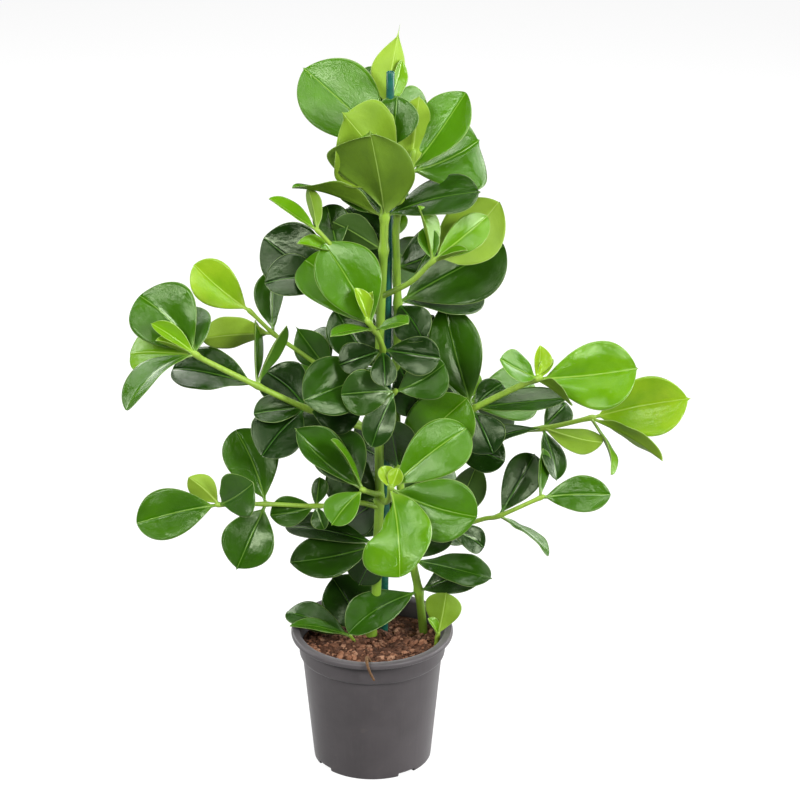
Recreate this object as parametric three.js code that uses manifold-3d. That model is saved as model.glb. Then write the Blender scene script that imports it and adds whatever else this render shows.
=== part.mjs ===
// A potted clusia: two upright stems, their side shoots and thick paddle leaves, in a round nursery pot.
// Millimetres, +Z up, origin at the middle of the pot's base, the front of the plant towards -Y.
import * as THREE from 'three';
import { mergeVertices } from 'three/addons/utils/BufferGeometryUtils.js';
import Module from 'manifold-3d';

const wasm = await Module();
wasm.setup();
const { Manifold, Mesh } = wasm;

// Driving dimensions.
const POT_HEIGHT = 148;
const LIP_RADIUS = 85;
const LIP_DROP = 6;
const BAND_RADIUS = 77.5;
const BAND_BOTTOM = 120;
const WALL_TOP_RADIUS = 73.5;
const BASE_RADIUS = 62;
const WALL = 2;
const FOOT_HEIGHT = 4.5;
const FOOT_WIDTH = 6;
const FLOOR = 2.4;
const NOTCH_ANGLES = [-54, 36, 126, 216];
const NOTCH_SPAN = 19;
const NOTCH_HEIGHT = 3.2;
const DRAIN_RADIUS = 5;
const DRAIN_CIRCLE = 44;
const SOIL_LEVEL = 128;
const SOIL_GAP = 0.4;
const STAKE_RADIUS = 4;
const STAKE_BOTTOM = [11.5, 31, 40];
const STAKE_TOP = [20, 12, 753];
const STAKE_BORE = 2.6;
const STAKE_SIDES = 12;
const LEAF_THICKNESS = 2.4;
const LEAF_WIDEST = 0.64;
const LEAF_STATIONS = [0, 0.13, 0.42, 0.76, 0.975];
const PETIOLE_HALF_WIDTH = 1.7;
const PETIOLE_SHARE = 0.09;
const COLLAR_EXTRA = 2.2;
const COLLAR_LENGTH = 9;
const STEM_SIDES = 6;
const STEM_TAPER = 0.22;
const POT_SIDES = 40;
const DRAIN_SIDES = 16;
const SOIL_SIDES = 24;
const SOIL_RINGS = [52, 34, 18, 4];
const GAP = 0.35;
const VIEW_DIP = 23.3;

const rad = (degrees) => degrees * Math.PI / 180;
const vec = (p) => new THREE.Vector3(p[0], p[1], p[2]);

// The plant's plan. A shoot has a parent, a stem radius, the points of its path, and leaf joints on them.
// A leaf has: clock (degrees clockwise from upright, seen from the front, from a little above), lean
// (degrees towards the front), length, width, roll (0 shows the upper face to the front), bend (degrees,
// base to tip), cup (degrees the sides rise), age (0 young to 1 old) and twist (degrees, base to tip).
const SHOOTS = [];

function leaf(clock, lean, length, width, roll, bend, cup, age, twist) {
  return { clock, lean, length, width, roll, bend, cup, age, twist };
}

function joint(name, index, ...leaves) {
  return { name, index, leaves };
}

function shoot(name, parent, radius, points, joints) {
  SHOOTS.push({ name, parent, radius, points, joints });
}

shoot("stem_front", "", 5.2, [
    [-2, 15, 96], [-1, 15, 130], [4, 12, 174], [6, 8, 240], [8, 6, 293], [8, 5, 344], [8, 4, 406],
    [8, 4, 438], [9, 4, 478], [11, 3, 527], [13, 2, 570], [14, 0, 606], [17, -2, 646], [19, 0, 676],
    [20, 0, 704]], [
    joint("leaves_at_stem_foot", 1,
        leaf(326, -8, 74, 58, 0, 8, 12, 0.9, 0)),
    joint("leaves_low_left", 3,
        leaf(283, 6, 98, 36, 44, 14, 10, 0.95, 0),
        leaf(259, 16, 96, 46, 20, 10, 8, 0.85, 0),
        leaf(205, -24, 50, 38, 0, 10, 8, 1, 0)),
    joint("leaves_middle_left", 4,
        leaf(296, 12, 62, 56, 14, 14, 8, 0.9, 0),
        leaf(232, -50, 66, 46, 0, 10, 10, 0.9, 0)),
    joint("leaves_mid_front", 7,
        leaf(249, 26, 90, 62, 12, 20, 8, 0.85, 0),
        leaf(325, -8, 80, 52, 0, 6, 10, 0.95, 0)),
    joint("leaves_upper_left", 10,
        leaf(301, 6, 58, 36, 156, 6, 14, 1, 0),
        leaf(320, -28, 68, 42, 10, 6, 14, 0.95, 0),
        leaf(335, -50, 76, 50, 0, 10, 10, 0.9, 0)),
    joint("leaves_crown_lower", 11,
        leaf(350, 46, 110, 82, 178, -14, 8, 0.45, 0),
        leaf(291, 12, 98, 54, 104, 8, 16, 0.5, -40),
        leaf(322, -28, 62, 52, 20, 12, 10, 0.8, 0),
        leaf(76, 12, 98, 58, -42, 14, 12, 0.85, 0)),
    joint("leaves_crown_tip", 13,
        leaf(314, -6, 118, 76, 4, 8, 8, 0.5, 0),
        leaf(8, 15, 54, 44, 0, 6, 14, 0.7, 0))]);
shoot("stem_back", "", 4.6, [
    [56, 30, 96], [54, 27, 130], [49, 27, 176], [42, 26, 213], [35, 24, 255], [28, 22, 320], [26, 18, 378],
    [26, 16, 445], [27, 15, 508], [26, 12, 552], [26, 8, 600], [38, 5, 651], [42, 4, 668]], [
    joint("leaves_low_right", 2,
        leaf(72, 6, 76, 42, -34, 34, 12, 0.9, 0),
        leaf(244, 32, 96, 46, 34, 16, 8, 0.85, 0)),
    joint("leaves_low_right_upper", 3,
        leaf(103, 18, 88, 44, -46, 22, 10, 0.85, 0),
        leaf(35, -20, 62, 42, 0, 10, 10, 0.9, 0)),
    joint("leaves_middle_right", 5,
        leaf(43, 38, 124, 68, 0, 8, 10, 0.45, 0),
        leaf(350, 44, 68, 42, 0, 8, 10, 0.95, 0),
        leaf(300, -50, 70, 48, 0, 10, 10, 0.9, 0)),
    joint("leaves_behind_middle", 7,
        leaf(72, -12, 58, 38, -24, 10, 10, 0.95, 0),
        leaf(38, -16, 64, 42, -10, 8, 10, 1, 0),
        leaf(150, -14, 64, 48, 0, 10, 10, 1, 0),
        leaf(330, -45, 84, 56, 0, 10, 10, 0.95, 0)),
    joint("leaves_large_right", 8,
        leaf(62, -4, 122, 76, -6, 8, 6, 0.8, 0),
        leaf(84, -24, 96, 58, -40, 10, 8, 0.95, 0),
        leaf(146, 26, 52, 40, 0, 10, 8, 1, 0)),
    joint("leaves_crown_right", 11,
        leaf(35, -2, 98, 56, -22, -6, 22, 0.5, 0),
        leaf(63, -28, 92, 80, 2, 10, 8, 0.6, 0),
        leaf(7, 12, 76, 40, 200, -12, 26, 0.15, 0),
        leaf(310, 35, 98, 84, 178, -16, 5, 0.25, 0))]);
shoot("shoot_crown_behind", "stem_front", 2.4, [
    [19, 0, 668], [10, 5, 680], [8, 20, 691], [13, 31, 700], [16, 34, 706]], [
    joint("", 4,
        leaf(9, 2, 76, 36, 190, -8, 30, 0.1, 0),
        leaf(18, 0, 52, 20, 50, 4, 20, 0.25, 0),
        leaf(325, -30, 60, 40, 0, 4, 14, 0.7, 0),
        leaf(70, -40, 56, 36, 0, 4, 14, 0.5, 0))]);
shoot("shoot_upper_right", "stem_front", 3.0, [
    [11, 3, 520], [39, -20, 544], [56, -32, 566], [62, -35, 573]], [
    joint("", 3,
        leaf(347, 6, 56, 28, 60, -10, 40, 0.3, 0),
        leaf(344, -6, 34, 22, 10, -6, 26, 0.5, 0),
        leaf(50, -4, 70, 34, -6, -6, 18, 0.35, 0),
        leaf(72, 24, 38, 20, -72, -8, 30, 0.4, 0),
        leaf(48, -32, 102, 64, 176, 20, 10, 0.2, 0))]);
shoot("shoot_upper_left", "stem_front", 2.6, [
    [11, 3, 520], [-14, 0, 548], [-32, -10, 572], [-45, -15, 589], [-52, -18, 598]], [
    joint("leaves_young_upper_left", 2,
        leaf(286, 14, 42, 24, 56, -14, 40, 0.3, 0),
        leaf(346, -20, 52, 36, 0, -6, 16, 0.8, 0)),
    joint("", 4,
        leaf(305, 4, 58, 24, 56, -6, 28, 0.35, 0),
        leaf(349, -6, 44, 18, 150, -6, 30, 0.4, 0))]);
shoot("shoot_left_high", "stem_front", 3.0, [
    [10, 4, 500], [-10, 14, 512], [-24, 16, 522], [-34, 18, 530]], [
    joint("", 3,
        leaf(301, -8, 88, 70, 12, 8, 16, 0.95, 0),
        leaf(270, 12, 74, 50, 34, 10, 10, 0.95, 0),
        leaf(20, -52, 70, 44, 0, 6, 14, 0.85, 0))]);
shoot("shoot_centre", "stem_front", 3.2, [
    [8, 4, 446], [12, -22, 472], [8, -40, 494], [4, -48, 504], [-2, -56, 516]], [
    joint("leaves_centre_lower", 1,
        leaf(252, -4, 46, 32, 10, 10, 12, 0.95, 0),
        leaf(98, 2, 58, 40, -10, 14, 12, 0.95, 0),
        leaf(176, 24, 40, 26, 0, 12, 12, 1, 0)),
    joint("leaves_centre_fan", 3,
        leaf(330, 2, 100, 64, 2, 6, 10, 0.5, 0),
        leaf(316, -22, 112, 60, 6, 8, 12, 0.5, 0),
        leaf(262, 30, 50, 30, 70, 26, 10, 0.4, 0),
        leaf(76, 36, 42, 32, -70, 16, 10, 0.4, 0)),
    joint("", 4,
        leaf(341, 4, 36, 18, 24, -6, 44, 0.05, 0),
        leaf(8, 2, 30, 16, -36, -6, 44, 0.1, 0))]);
shoot("shoot_mid_front", "stem_front", 3.0, [
    [8, 4, 402], [14, -12, 414], [22, -26, 426], [24, -30, 430]], [
    joint("", 3,
        leaf(267, 14, 56, 46, -4, 26, 10, 0.8, 0),
        leaf(61, 8, 58, 46, 6, 20, 10, 0.8, 0),
        leaf(203, 12, 62, 32, 4, 20, 12, 0.95, 0))]);
shoot("branch_left", "stem_front", 3.4, [
    [8, 4, 372], [-32, 0, 384], [-66, -10, 403], [-114, -25, 434], [-165, -40, 468], [-174, -44, 476]], [
    joint("leaves_branch_left_inner", 2,
        leaf(312, -28, 62, 50, 10, 8, 12, 1, 0),
        leaf(264, 8, 54, 36, 36, 12, 10, 0.9, 0),
        leaf(222, 14, 68, 58, 22, 14, 10, 1, 0),
        leaf(96, -14, 56, 44, 10, 8, 12, 1, 0)),
    joint("leaves_branch_left_middle", 3,
        leaf(283, -22, 100, 52, 30, 12, 10, 0.9, 0),
        leaf(24, -6, 68, 30, 74, -24, 20, 0.5, 0),
        leaf(357, -28, 76, 24, 76, -8, 20, 0.6, 0)),
    joint("", 5,
        leaf(316, -10, 86, 70, 2, 8, 12, 0.65, 0),
        leaf(350, -34, 60, 40, 0, 8, 12, 0.75, 0),
        leaf(273, -26, 80, 50, 22, 10, 12, 0.25, 0),
        leaf(306, 12, 54, 22, 24, -10, 48, 0.2, 0),
        leaf(290, 18, 44, 18, 60, -10, 48, 0.15, 0),
        leaf(230, 8, 94, 46, 58, 74, 12, 0.6, 0))]);
shoot("branch_left_thin", "stem_back", 2.6, [
    [26, 16, 400], [-8, 26, 412], [-42, 25, 428], [-82, 30, 455], [-100, 30, 469], [-123, 28, 494]], [
    joint("leaves_thin_branch_inner", 2,
        leaf(323, 6, 56, 36, -14, 6, 14, 0.8, 0),
        leaf(330, -40, 66, 40, 0, 8, 14, 0.9, 0)),
    joint("leaves_thin_branch_fork", 4,
        leaf(1, -4, 68, 38, -28, -4, 30, 0.75, 0),
        leaf(266, 8, 74, 38, 148, 22, 18, 0.2, 0)),
    joint("", 5,
        leaf(310, 0, 74, 45, 0, 8, 12, 0.12, 0))]);
shoot("branch_right", "stem_back", 3.8, [
    [28, 22, 338], [48, 12, 356], [70, 5, 374], [103, -5, 400], [146, -20, 430], [167, -28, 443]], [
    joint("leaves_branch_right_inner", 2,
        leaf(350, -30, 56, 40, 10, 8, 12, 0.9, 0),
        leaf(60, -40, 60, 40, -10, 8, 12, 0.95, 0)),
    joint("leaves_branch_right_middle", 3,
        leaf(345, -4, 112, 54, -8, 6, 16, 0.75, 0),
        leaf(85, 10, 98, 42, -56, 12, 10, 0.85, 0),
        leaf(50, -36, 50, 30, -10, 6, 12, 0.9, 0),
        leaf(155, 8, 50, 44, 0, 10, 10, 1, 0)),
    joint("", 5,
        leaf(84, -6, 102, 70, -6, 8, 10, 0.35, 0),
        leaf(296, 30, 50, 36, 40, 18, 16, 0.45, 0),
        leaf(130, 26, 48, 32, -100, 26, 14, 0.45, 0),
        leaf(6, 4, 34, 22, 20, -10, 44, 0.05, 0),
        leaf(40, 0, 26, 16, -30, -10, 44, 0.08, 0))]);
shoot("branch_right_long", "stem_back", 3.2, [
    [28, 24, 318], [52, 28, 332], [81, 30, 343], [126, 35, 356], [177, 35, 361], [226, 30, 375]], [
    joint("leaves_long_branch_inner", 2,
        leaf(104, 16, 60, 42, -20, 12, 10, 1, 0),
        leaf(40, -46, 62, 42, -10, 8, 12, 0.9, 0)),
    joint("leaves_long_branch_middle", 4,
        leaf(106, 26, 70, 30, 150, -12, 16, 0.3, 0),
        leaf(162, 12, 56, 32, -40, 14, 14, 0.9, 0),
        leaf(44, -28, 44, 30, 0, 8, 12, 0.9, 0),
        leaf(258, 22, 66, 28, 62, 12, 14, 0.9, 0)),
    joint("", 5,
        leaf(79, 0, 102, 62, 0, 8, 12, 0.1, 0),
        leaf(120, 8, 86, 34, -112, 16, 14, 0.2, 0),
        leaf(157, 28, 70, 26, -78, 22, 14, 0.3, 0))]);
shoot("branch_right_low", "stem_back", 2.8, [
    [35, 24, 252], [56, 16, 252], [81, 10, 258], [116, 0, 274], [132, -5, 280], [174, -10, 303]], [
    joint("leaves_low_branch_inner", 2,
        leaf(24, -12, 74, 40, 150, -8, 14, 0.95, 0),
        leaf(118, -8, 42, 28, -20, 10, 10, 0.95, 0)),
    joint("leaves_low_branch_middle", 4,
        leaf(29, -4, 74, 40, -12, 8, 14, 0.95, 0),
        leaf(125, 8, 66, 28, -72, 14, 12, 0.7, 0)),
    joint("", 5,
        leaf(2, 2, 50, 24, 58, -6, 20, 0.6, 0),
        leaf(88, 4, 72, 38, -14, 30, 12, 0.6, 0))]);
shoot("shoot_front", "stem_front", 3.6, [
    [8, 6, 296], [14, -22, 304], [18, -50, 320], [20, -70, 341]], [
    joint("", 3,
        leaf(51, 2, 98, 56, -8, 6, 10, 0.45, 0),
        leaf(108, 8, 92, 64, 2, 14, 6, 0.6, 0),
        leaf(174, 26, 96, 70, 0, 24, 6, 0.18, 0),
        leaf(340, 0, 24, 18, 10, -8, 26, 0.08, 0),
        leaf(20, 8, 22, 17, -10, -8, 26, 0.1, 0))]);
shoot("shoot_front_left", "stem_front", 3.2, [
    [8, 6, 300], [4, -20, 312], [-2, -42, 324], [-8, -54, 332]], [
    joint("", 3,
        leaf(312, 8, 94, 52, 44, -24, 34, 0.75, -50),
        leaf(326, -30, 76, 56, 6, 8, 12, 0.9, 0),
        leaf(222, 16, 48, 36, 26, 12, 12, 0.5, 0),
        leaf(330, 24, 66, 22, 76, 10, 16, 0.4, 0))]);
shoot("branch_left_low", "stem_front", 2.8, [
    [8, 6, 284], [-10, -8, 296], [-30, -16, 299], [-57, -20, 298], [-108, -30, 305], [-155, -40, 309]], [
    joint("leaves_low_left_inner", 3,
        leaf(259, 6, 48, 32, 12, 8, 14, 0.75, 0),
        leaf(8, 6, 30, 18, 24, 6, 20, 0.75, 0),
        leaf(160, 20, 26, 18, 10, 6, 20, 0.8, 0)),
    joint("leaves_low_left_middle", 4,
        leaf(338, -4, 82, 56, 2, 8, 12, 0.65, 0),
        leaf(204, 8, 72, 54, 0, 10, 12, 0.75, 0)),
    joint("", 5,
        leaf(257, 0, 86, 52, 8, 10, 12, 0.6, 0),
        leaf(313, 6, 42, 28, 172, -8, 26, 0.15, 0),
        leaf(58, 42, 54, 50, 0, -6, 20, 0.7, 0))]);
shoot("sprout_right", "", 2.6, [
    [66, 2, 100], [68, -5, 134], [69, -7, 142]], [
    joint("", 2,
        leaf(11, 6, 46, 40, 176, -20, 24, 0.25, 0),
        leaf(335, 30, 24, 14, 60, 10, 24, 0.3, 0))]);
shoot("leaf_stalk_left", "", 1.8, [
    [-14, 2, 104], [-18, -2, 130], [-22, -6, 140]], [
    joint("", 2,
        leaf(283, 4, 66, 24, 68, 12, 12, 0.7, 0),
        leaf(292, -18, 78, 38, 44, 16, 8, 0.9, 0))]);
shoot("branch_back_high", "stem_back", 3.2, [
    [26, 14, 520], [22, 44, 534], [14, 76, 552]], [
    joint("leaves_back_high_lower", 1,
        leaf(64, -40, 86, 56, -10, 10, 12, 0.85, 0),
        leaf(300, -44, 84, 54, 10, 10, 12, 0.9, 0)),
    joint("", 2,
        leaf(350, -38, 82, 56, 0, 10, 12, 0.7, 0),
        leaf(120, -60, 86, 58, 0, 12, 12, 0.6, 0),
        leaf(230, -60, 84, 56, 0, 12, 12, 0.65, 0),
        leaf(30, -30, 40, 20, 0, -6, 30, 0.3, 0))]);
shoot("branch_back_left", "stem_front", 3.2, [
    [8, 5, 362], [-6, 40, 358], [-20, 78, 354], [-32, 110, 354]], [
    joint("leaves_back_left_inner", 2,
        leaf(288, -24, 84, 54, 10, 10, 12, 0.95, 0),
        leaf(150, -50, 86, 56, 0, 12, 12, 0.85, 0)),
    joint("", 3,
        leaf(298, -40, 90, 60, 6, 10, 12, 0.6, 0),
        leaf(236, -44, 90, 60, 0, 12, 12, 0.7, 0),
        leaf(60, -40, 76, 50, 0, 10, 12, 0.8, 0),
        leaf(350, -50, 44, 22, 0, -6, 30, 0.25, 0))]);
shoot("branch_back_right", "stem_back", 3.2, [
    [28, 20, 358], [52, 56, 356], [78, 96, 352], [96, 124, 350]], [
    joint("leaves_back_right_inner", 2,
        leaf(330, -30, 80, 54, 0, 10, 12, 0.95, 0),
        leaf(186, -46, 84, 56, 0, 12, 12, 0.85, 0)),
    joint("", 3,
        leaf(76, -30, 94, 62, -8, 10, 12, 0.55, 0),
        leaf(140, -46, 88, 58, 0, 12, 12, 0.7, 0),
        leaf(340, -40, 80, 54, 0, 10, 12, 0.75, 0),
        leaf(20, -20, 42, 22, 0, -6, 30, 0.25, 0))]);
shoot("branch_back_low", "stem_back", 3.0, [
    [42, 26, 214], [38, 70, 230], [24, 110, 250]], [
    joint("leaves_back_low_inner", 1,
        leaf(80, -34, 82, 54, -8, 12, 12, 0.9, 0),
        leaf(284, -30, 82, 54, 8, 12, 12, 0.95, 0)),
    joint("", 2,
        leaf(60, -30, 86, 58, 0, 12, 12, 0.7, 0),
        leaf(170, -62, 84, 56, 0, 12, 12, 0.75, 0),
        leaf(300, -34, 84, 56, 0, 12, 12, 0.7, 0))]);

// Closed solids.
function solid(geometry) {
  const bare = new THREE.BufferGeometry();
  bare.setAttribute('position', geometry.getAttribute('position'));
  if (geometry.index) bare.setIndex(geometry.index);
  const merged = mergeVertices(bare, 1e-4);
  return new Manifold(new Mesh({
    numProp: 3,
    vertProperties: new Float32Array(merged.getAttribute('position').array),
    triVerts: new Uint32Array(merged.index.array),
  }));
}

function lathe(profile, segments) {
  const points = profile.map((p) => new THREE.Vector2(p[0], p[1]));
  const geometry = new THREE.LatheGeometry(points, segments);
  geometry.rotateX(Math.PI / 2);
  return solid(geometry);
}

function rod(from, to, radius, segments) {
  const a = vec(from);
  const b = vec(to);
  const geometry = new THREE.CylinderGeometry(radius, radius, a.distanceTo(b), segments);
  const turn = new THREE.Quaternion().setFromUnitVectors(
    new THREE.Vector3(0, 1, 0), b.clone().sub(a).normalize());
  geometry.applyQuaternion(turn);
  geometry.translate((a.x + b.x) / 2, (a.y + b.y) / 2, (a.z + b.z) / 2);
  return solid(geometry);
}

// A solid through rings of points, closed at both ends on the middle of the end rings.
function loft(rings) {
  const count = rings[0].length;
  const positions = [];
  const index = [];
  rings.forEach((ring) => ring.forEach((p) => positions.push(p.x, p.y, p.z)));
  for (let i = 0; i + 1 < rings.length; i += 1) {
    for (let j = 0; j < count; j += 1) {
      const a = i * count + j;
      const b = i * count + (j + 1) % count;
      index.push(a, b, b + count, a, b + count, a + count);
    }
  }
  const last = (rings.length - 1) * count;
  for (let j = 1; j + 1 < count; j += 1) {
    index.push(0, j + 1, j);
    index.push(last, last + j, last + j + 1);
  }
  const geometry = new THREE.BufferGeometry();
  geometry.setAttribute('position', new THREE.Float32BufferAttribute(positions, 3));
  geometry.setIndex(index);
  const made = solid(geometry);
  if (made.volume() > 0) return made;
  const turned = [];
  for (let i = 0; i < index.length; i += 3) turned.push(index[i], index[i + 2], index[i + 1]);
  geometry.setIndex(turned);
  return solid(geometry);
}

// A smooth path through a shoot's points.
function pathPoint(points, t) {
  const i = Math.min(Math.floor(t), points.length - 2);
  const u = t - i;
  const p1 = vec(points[i]);
  const p2 = vec(points[i + 1]);
  const p0 = i > 0 ? vec(points[i - 1]) : p1.clone().multiplyScalar(2).sub(p2);
  const p3 = i + 2 < points.length ? vec(points[i + 2]) : p2.clone().multiplyScalar(2).sub(p1);
  const axis = (k) => {
    const [a, b, c, d] = [p0, p1, p2, p3].map((p) => p.getComponent(k));
    return 0.5 * (2 * b + (c - a) * u + (2 * a - 5 * b + 4 * c - d) * u * u
      + (3 * b - a - 3 * c + d) * u * u * u);
  };
  return new THREE.Vector3(axis(0), axis(1), axis(2));
}

function pathRadius(shootPlan, t) {
  return shootPlan.radius * (1 - STEM_TAPER * t / (shootPlan.points.length - 1));
}

function stemSolid(shootPlan, grow) {
  const { points } = shootPlan;
  const steps = 2 * (points.length - 1);
  const rings = [];
  let side = new THREE.Vector3(0, 1, 0);
  for (let i = 0; i <= steps + 1; i += 1) {
    const t = Math.min(i, steps) / 2;
    const ahead = pathPoint(points, Math.min(t + 0.05, points.length - 1));
    const tangent = ahead.sub(pathPoint(points, Math.max(t - 0.05, 0))).normalize();
    const centre = pathPoint(points, t);
    let radius = pathRadius(shootPlan, t) + grow;
    if (i > steps) {
      centre.addScaledVector(tangent, shootPlan.radius * 1.8 + grow);
      radius *= 0.45;
    }
    side = side.sub(tangent.clone().multiplyScalar(side.dot(tangent))).normalize();
    const other = tangent.clone().cross(side);
    const ring = [];
    for (let j = 0; j < STEM_SIDES; j += 1) {
      const angle = 2 * Math.PI * j / STEM_SIDES;
      ring.push(centre.clone().addScaledVector(side, radius * Math.cos(angle))
        .addScaledVector(other, radius * Math.sin(angle)));
    }
    rings.push(ring);
  }
  return loft(rings);
}

// The leaf's own axes: along the leaf, out of its upper face, and across it.
function leafAxes(plan) {
  const dip = rad(VIEW_DIP);
  const right = new THREE.Vector3(1, 0, 0);
  const toward = new THREE.Vector3(0, -Math.cos(dip), Math.sin(dip));
  const upward = new THREE.Vector3(0, Math.sin(dip), Math.cos(dip));
  const along = new THREE.Vector3()
    .addScaledVector(right, Math.cos(rad(plan.lean)) * Math.sin(rad(plan.clock)))
    .addScaledVector(upward, Math.cos(rad(plan.lean)) * Math.cos(rad(plan.clock)))
    .addScaledVector(toward, Math.sin(rad(plan.lean)));
  const facing = toward.clone().addScaledVector(along, -toward.dot(along)).normalize();
  const beside = along.clone().cross(facing);
  const normal = facing.clone().multiplyScalar(Math.cos(rad(plan.roll)))
    .addScaledVector(beside, Math.sin(rad(plan.roll)));
  return { along, normal, across: along.clone().cross(normal) };
}

function leafHalfWidth(plan, s) {
  if (s <= PETIOLE_SHARE) return PETIOLE_HALF_WIDTH;
  const q = Math.min((s - PETIOLE_SHARE) / (1 - PETIOLE_SHARE), 1);
  const blade = (q / LEAF_WIDEST) ** 1.05 * ((1 - q) / (1 - LEAF_WIDEST)) ** 0.59;
  return PETIOLE_HALF_WIDTH * (1 - q) + plan.width / 2 * blade;
}

// A section of the leaf at share s of its length: left edge, upper middle, right edge, lower middle.
function leafSection(plan, axes, base, s, grow) {
  const bend = rad(plan.bend);
  const phi = bend * (s - 0.5);
  const reach = plan.length / bend;
  const x = reach * (Math.sin(phi) + Math.sin(bend / 2));
  const z = reach * (Math.cos(phi) - Math.cos(bend / 2));
  const turn = rad(plan.twist) * (s - 0.5);
  const rise = axes.normal.clone().multiplyScalar(Math.cos(phi))
    .addScaledVector(axes.along, Math.sin(phi));
  const across = axes.across.clone().multiplyScalar(Math.cos(turn))
    .addScaledVector(rise, -Math.sin(turn));
  const up = rise.clone().multiplyScalar(Math.cos(turn))
    .addScaledVector(axes.across, Math.sin(turn));
  const end = s === 0 ? -grow : 0;
  const middle = base.clone().addScaledVector(axes.along, x + (s > 0.95 ? grow : end))
    .addScaledVector(axes.normal, z);
  const half = leafHalfWidth(plan, s) + grow;
  const cup = rad(plan.cup);
  const out = half * Math.cos(cup * 0.8);
  const lift = half * Math.sin(cup);
  const thick = LEAF_THICKNESS / 2 + grow;
  return [
    middle.clone().addScaledVector(across, -out).addScaledVector(up, lift),
    middle.clone().addScaledVector(up, thick),
    middle.clone().addScaledVector(across, out).addScaledVector(up, lift),
    middle.clone().addScaledVector(up, -thick),
  ];
}

function leafSolid(plan, base, grow) {
  const axes = leafAxes(plan);
  return loft(LEAF_STATIONS.map((s) => leafSection(plan, axes, base, s, grow)));
}

// A joint's leaves with their swelling, and round a stem that runs on through them, the hole for it.
function jointSolid(shootPlan, jointPlan, grow) {
  const { points } = shootPlan;
  const t = jointPlan.index;
  const base = vec(points[t]);
  const ahead = pathPoint(points, Math.min(t + 0.1, points.length - 1));
  const tangent = ahead.sub(pathPoint(points, Math.max(t - 0.1, 0))).normalize();
  const half = tangent.multiplyScalar(COLLAR_LENGTH / 2 + grow);
  const from = base.clone().sub(half);
  const to = base.clone().add(half);
  const radius = pathRadius(shootPlan, t) + COLLAR_EXTRA + grow;
  const pieces = jointPlan.leaves.map((plan) => leafSolid(plan, base, grow));
  pieces.push(rod([from.x, from.y, from.z], [to.x, to.y, to.z], radius, STEM_SIDES));
  return pieces.reduce((sum, piece) => sum.add(piece));
}

// Pot: rolled lip, upper band, tapered wall, floor raised on a foot that four drain notches pass through.
const floorTop = FOOT_HEIGHT + FLOOR;
const potOuter = [
  [BASE_RADIUS, 0],
  [WALL_TOP_RADIUS, BAND_BOTTOM],
  [BAND_RADIUS - 1, BAND_BOTTOM + 1.5],
  [BAND_RADIUS, POT_HEIGHT - LIP_DROP],
  [LIP_RADIUS - 1, POT_HEIGHT - LIP_DROP],
  [LIP_RADIUS, POT_HEIGHT - LIP_DROP + 1.5],
  [LIP_RADIUS, POT_HEIGHT - 2],
  [LIP_RADIUS - 2, POT_HEIGHT],
];
const potInner = [
  [BAND_RADIUS - 0.5, POT_HEIGHT],
  [BAND_RADIUS - WALL, POT_HEIGHT - 1.5],
  [BAND_RADIUS - WALL - 1, BAND_BOTTOM + 2],
  [WALL_TOP_RADIUS - WALL, BAND_BOTTOM - 1],
  [BASE_RADIUS - WALL + 0.6, floorTop],
  [0, floorTop],
  [0, FOOT_HEIGHT],
  [BASE_RADIUS - FOOT_WIDTH, FOOT_HEIGHT],
  [BASE_RADIUS - FOOT_WIDTH, 0],
];
let potSolid = lathe([...potOuter, ...potInner, potOuter[0]], POT_SIDES);
NOTCH_ANGLES.forEach((angle) => {
  const width = 2 * BASE_RADIUS * Math.sin(rad(NOTCH_SPAN / 2));
  const box = new THREE.BoxGeometry(width, 30, 2 * NOTCH_HEIGHT);
  box.translate(0, -BASE_RADIUS, 0);
  box.rotateZ(rad(angle));
  const direction = rad(angle - 90);
  const x = DRAIN_CIRCLE * Math.cos(direction);
  const y = DRAIN_CIRCLE * Math.sin(direction);
  potSolid = potSolid.subtract(solid(box));
  const drain = rod([x, y, FOOT_HEIGHT - 2], [x, y, floorTop + 2], DRAIN_RADIUS, DRAIN_SIDES);
  potSolid = potSolid.subtract(drain);
});

// Soil: fills the pot, its top uneven with bark lumps.
function soilHeight(radius, angle) {
  const bumps = Math.sin(radius * 0.21 + 2.1 * Math.cos(3 * angle))
    + Math.cos(5 * angle + radius * 0.13);
  const edge = radius / (BAND_RADIUS - WALL);
  return SOIL_LEVEL + 1.5 * bumps + 4 * (1 - edge * edge);
}
function soilRing(radius, height) {
  const ring = [];
  for (let j = 0; j < SOIL_SIDES; j += 1) {
    const angle = 2 * Math.PI * j / SOIL_SIDES;
    const z = height === null ? soilHeight(radius, angle) : height;
    ring.push(new THREE.Vector3(radius * Math.cos(angle), radius * Math.sin(angle), z));
  }
  return ring;
}
const soilSolid = loft([
  soilRing(BASE_RADIUS - WALL - SOIL_GAP, floorTop + SOIL_GAP),
  soilRing(WALL_TOP_RADIUS - WALL - SOIL_GAP - 0.4, BAND_BOTTOM - 2),
  soilRing(BAND_RADIUS - WALL - SOIL_GAP - 1.6, null),
  ...SOIL_RINGS.map((radius) => soilRing(radius, null)),
]);

// Stake: a hollow plastic-coated rod, open at the top.
function along(from, to, share) {
  return from.map((value, k) => value + (to[k] - value) * share);
}
const boreBottom = along(STAKE_BOTTOM, STAKE_TOP, 0.985);
const boreTop = along(STAKE_BOTTOM, STAKE_TOP, 1.01);
const stakeBore = rod(boreBottom, boreTop, STAKE_BORE, STAKE_SIDES);
const stakeRaw = (grow) => {
  const outer = rod(STAKE_BOTTOM, STAKE_TOP, STAKE_RADIUS + grow, STAKE_SIDES);
  return grow > 0 ? outer : outer.subtract(stakeBore);
};

// A dry brown root that lies over the soil and hangs over the lip at the front.
const DRY_ROOT = {
  radius: 2.1,
  points: [
    [-2, -50, 134], [-4, -64, 145], [-5, -78, 152.8], [-4, -88, 149.5], [-1, -89.6, 141], [3, -88.6, 132]],
};

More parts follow.
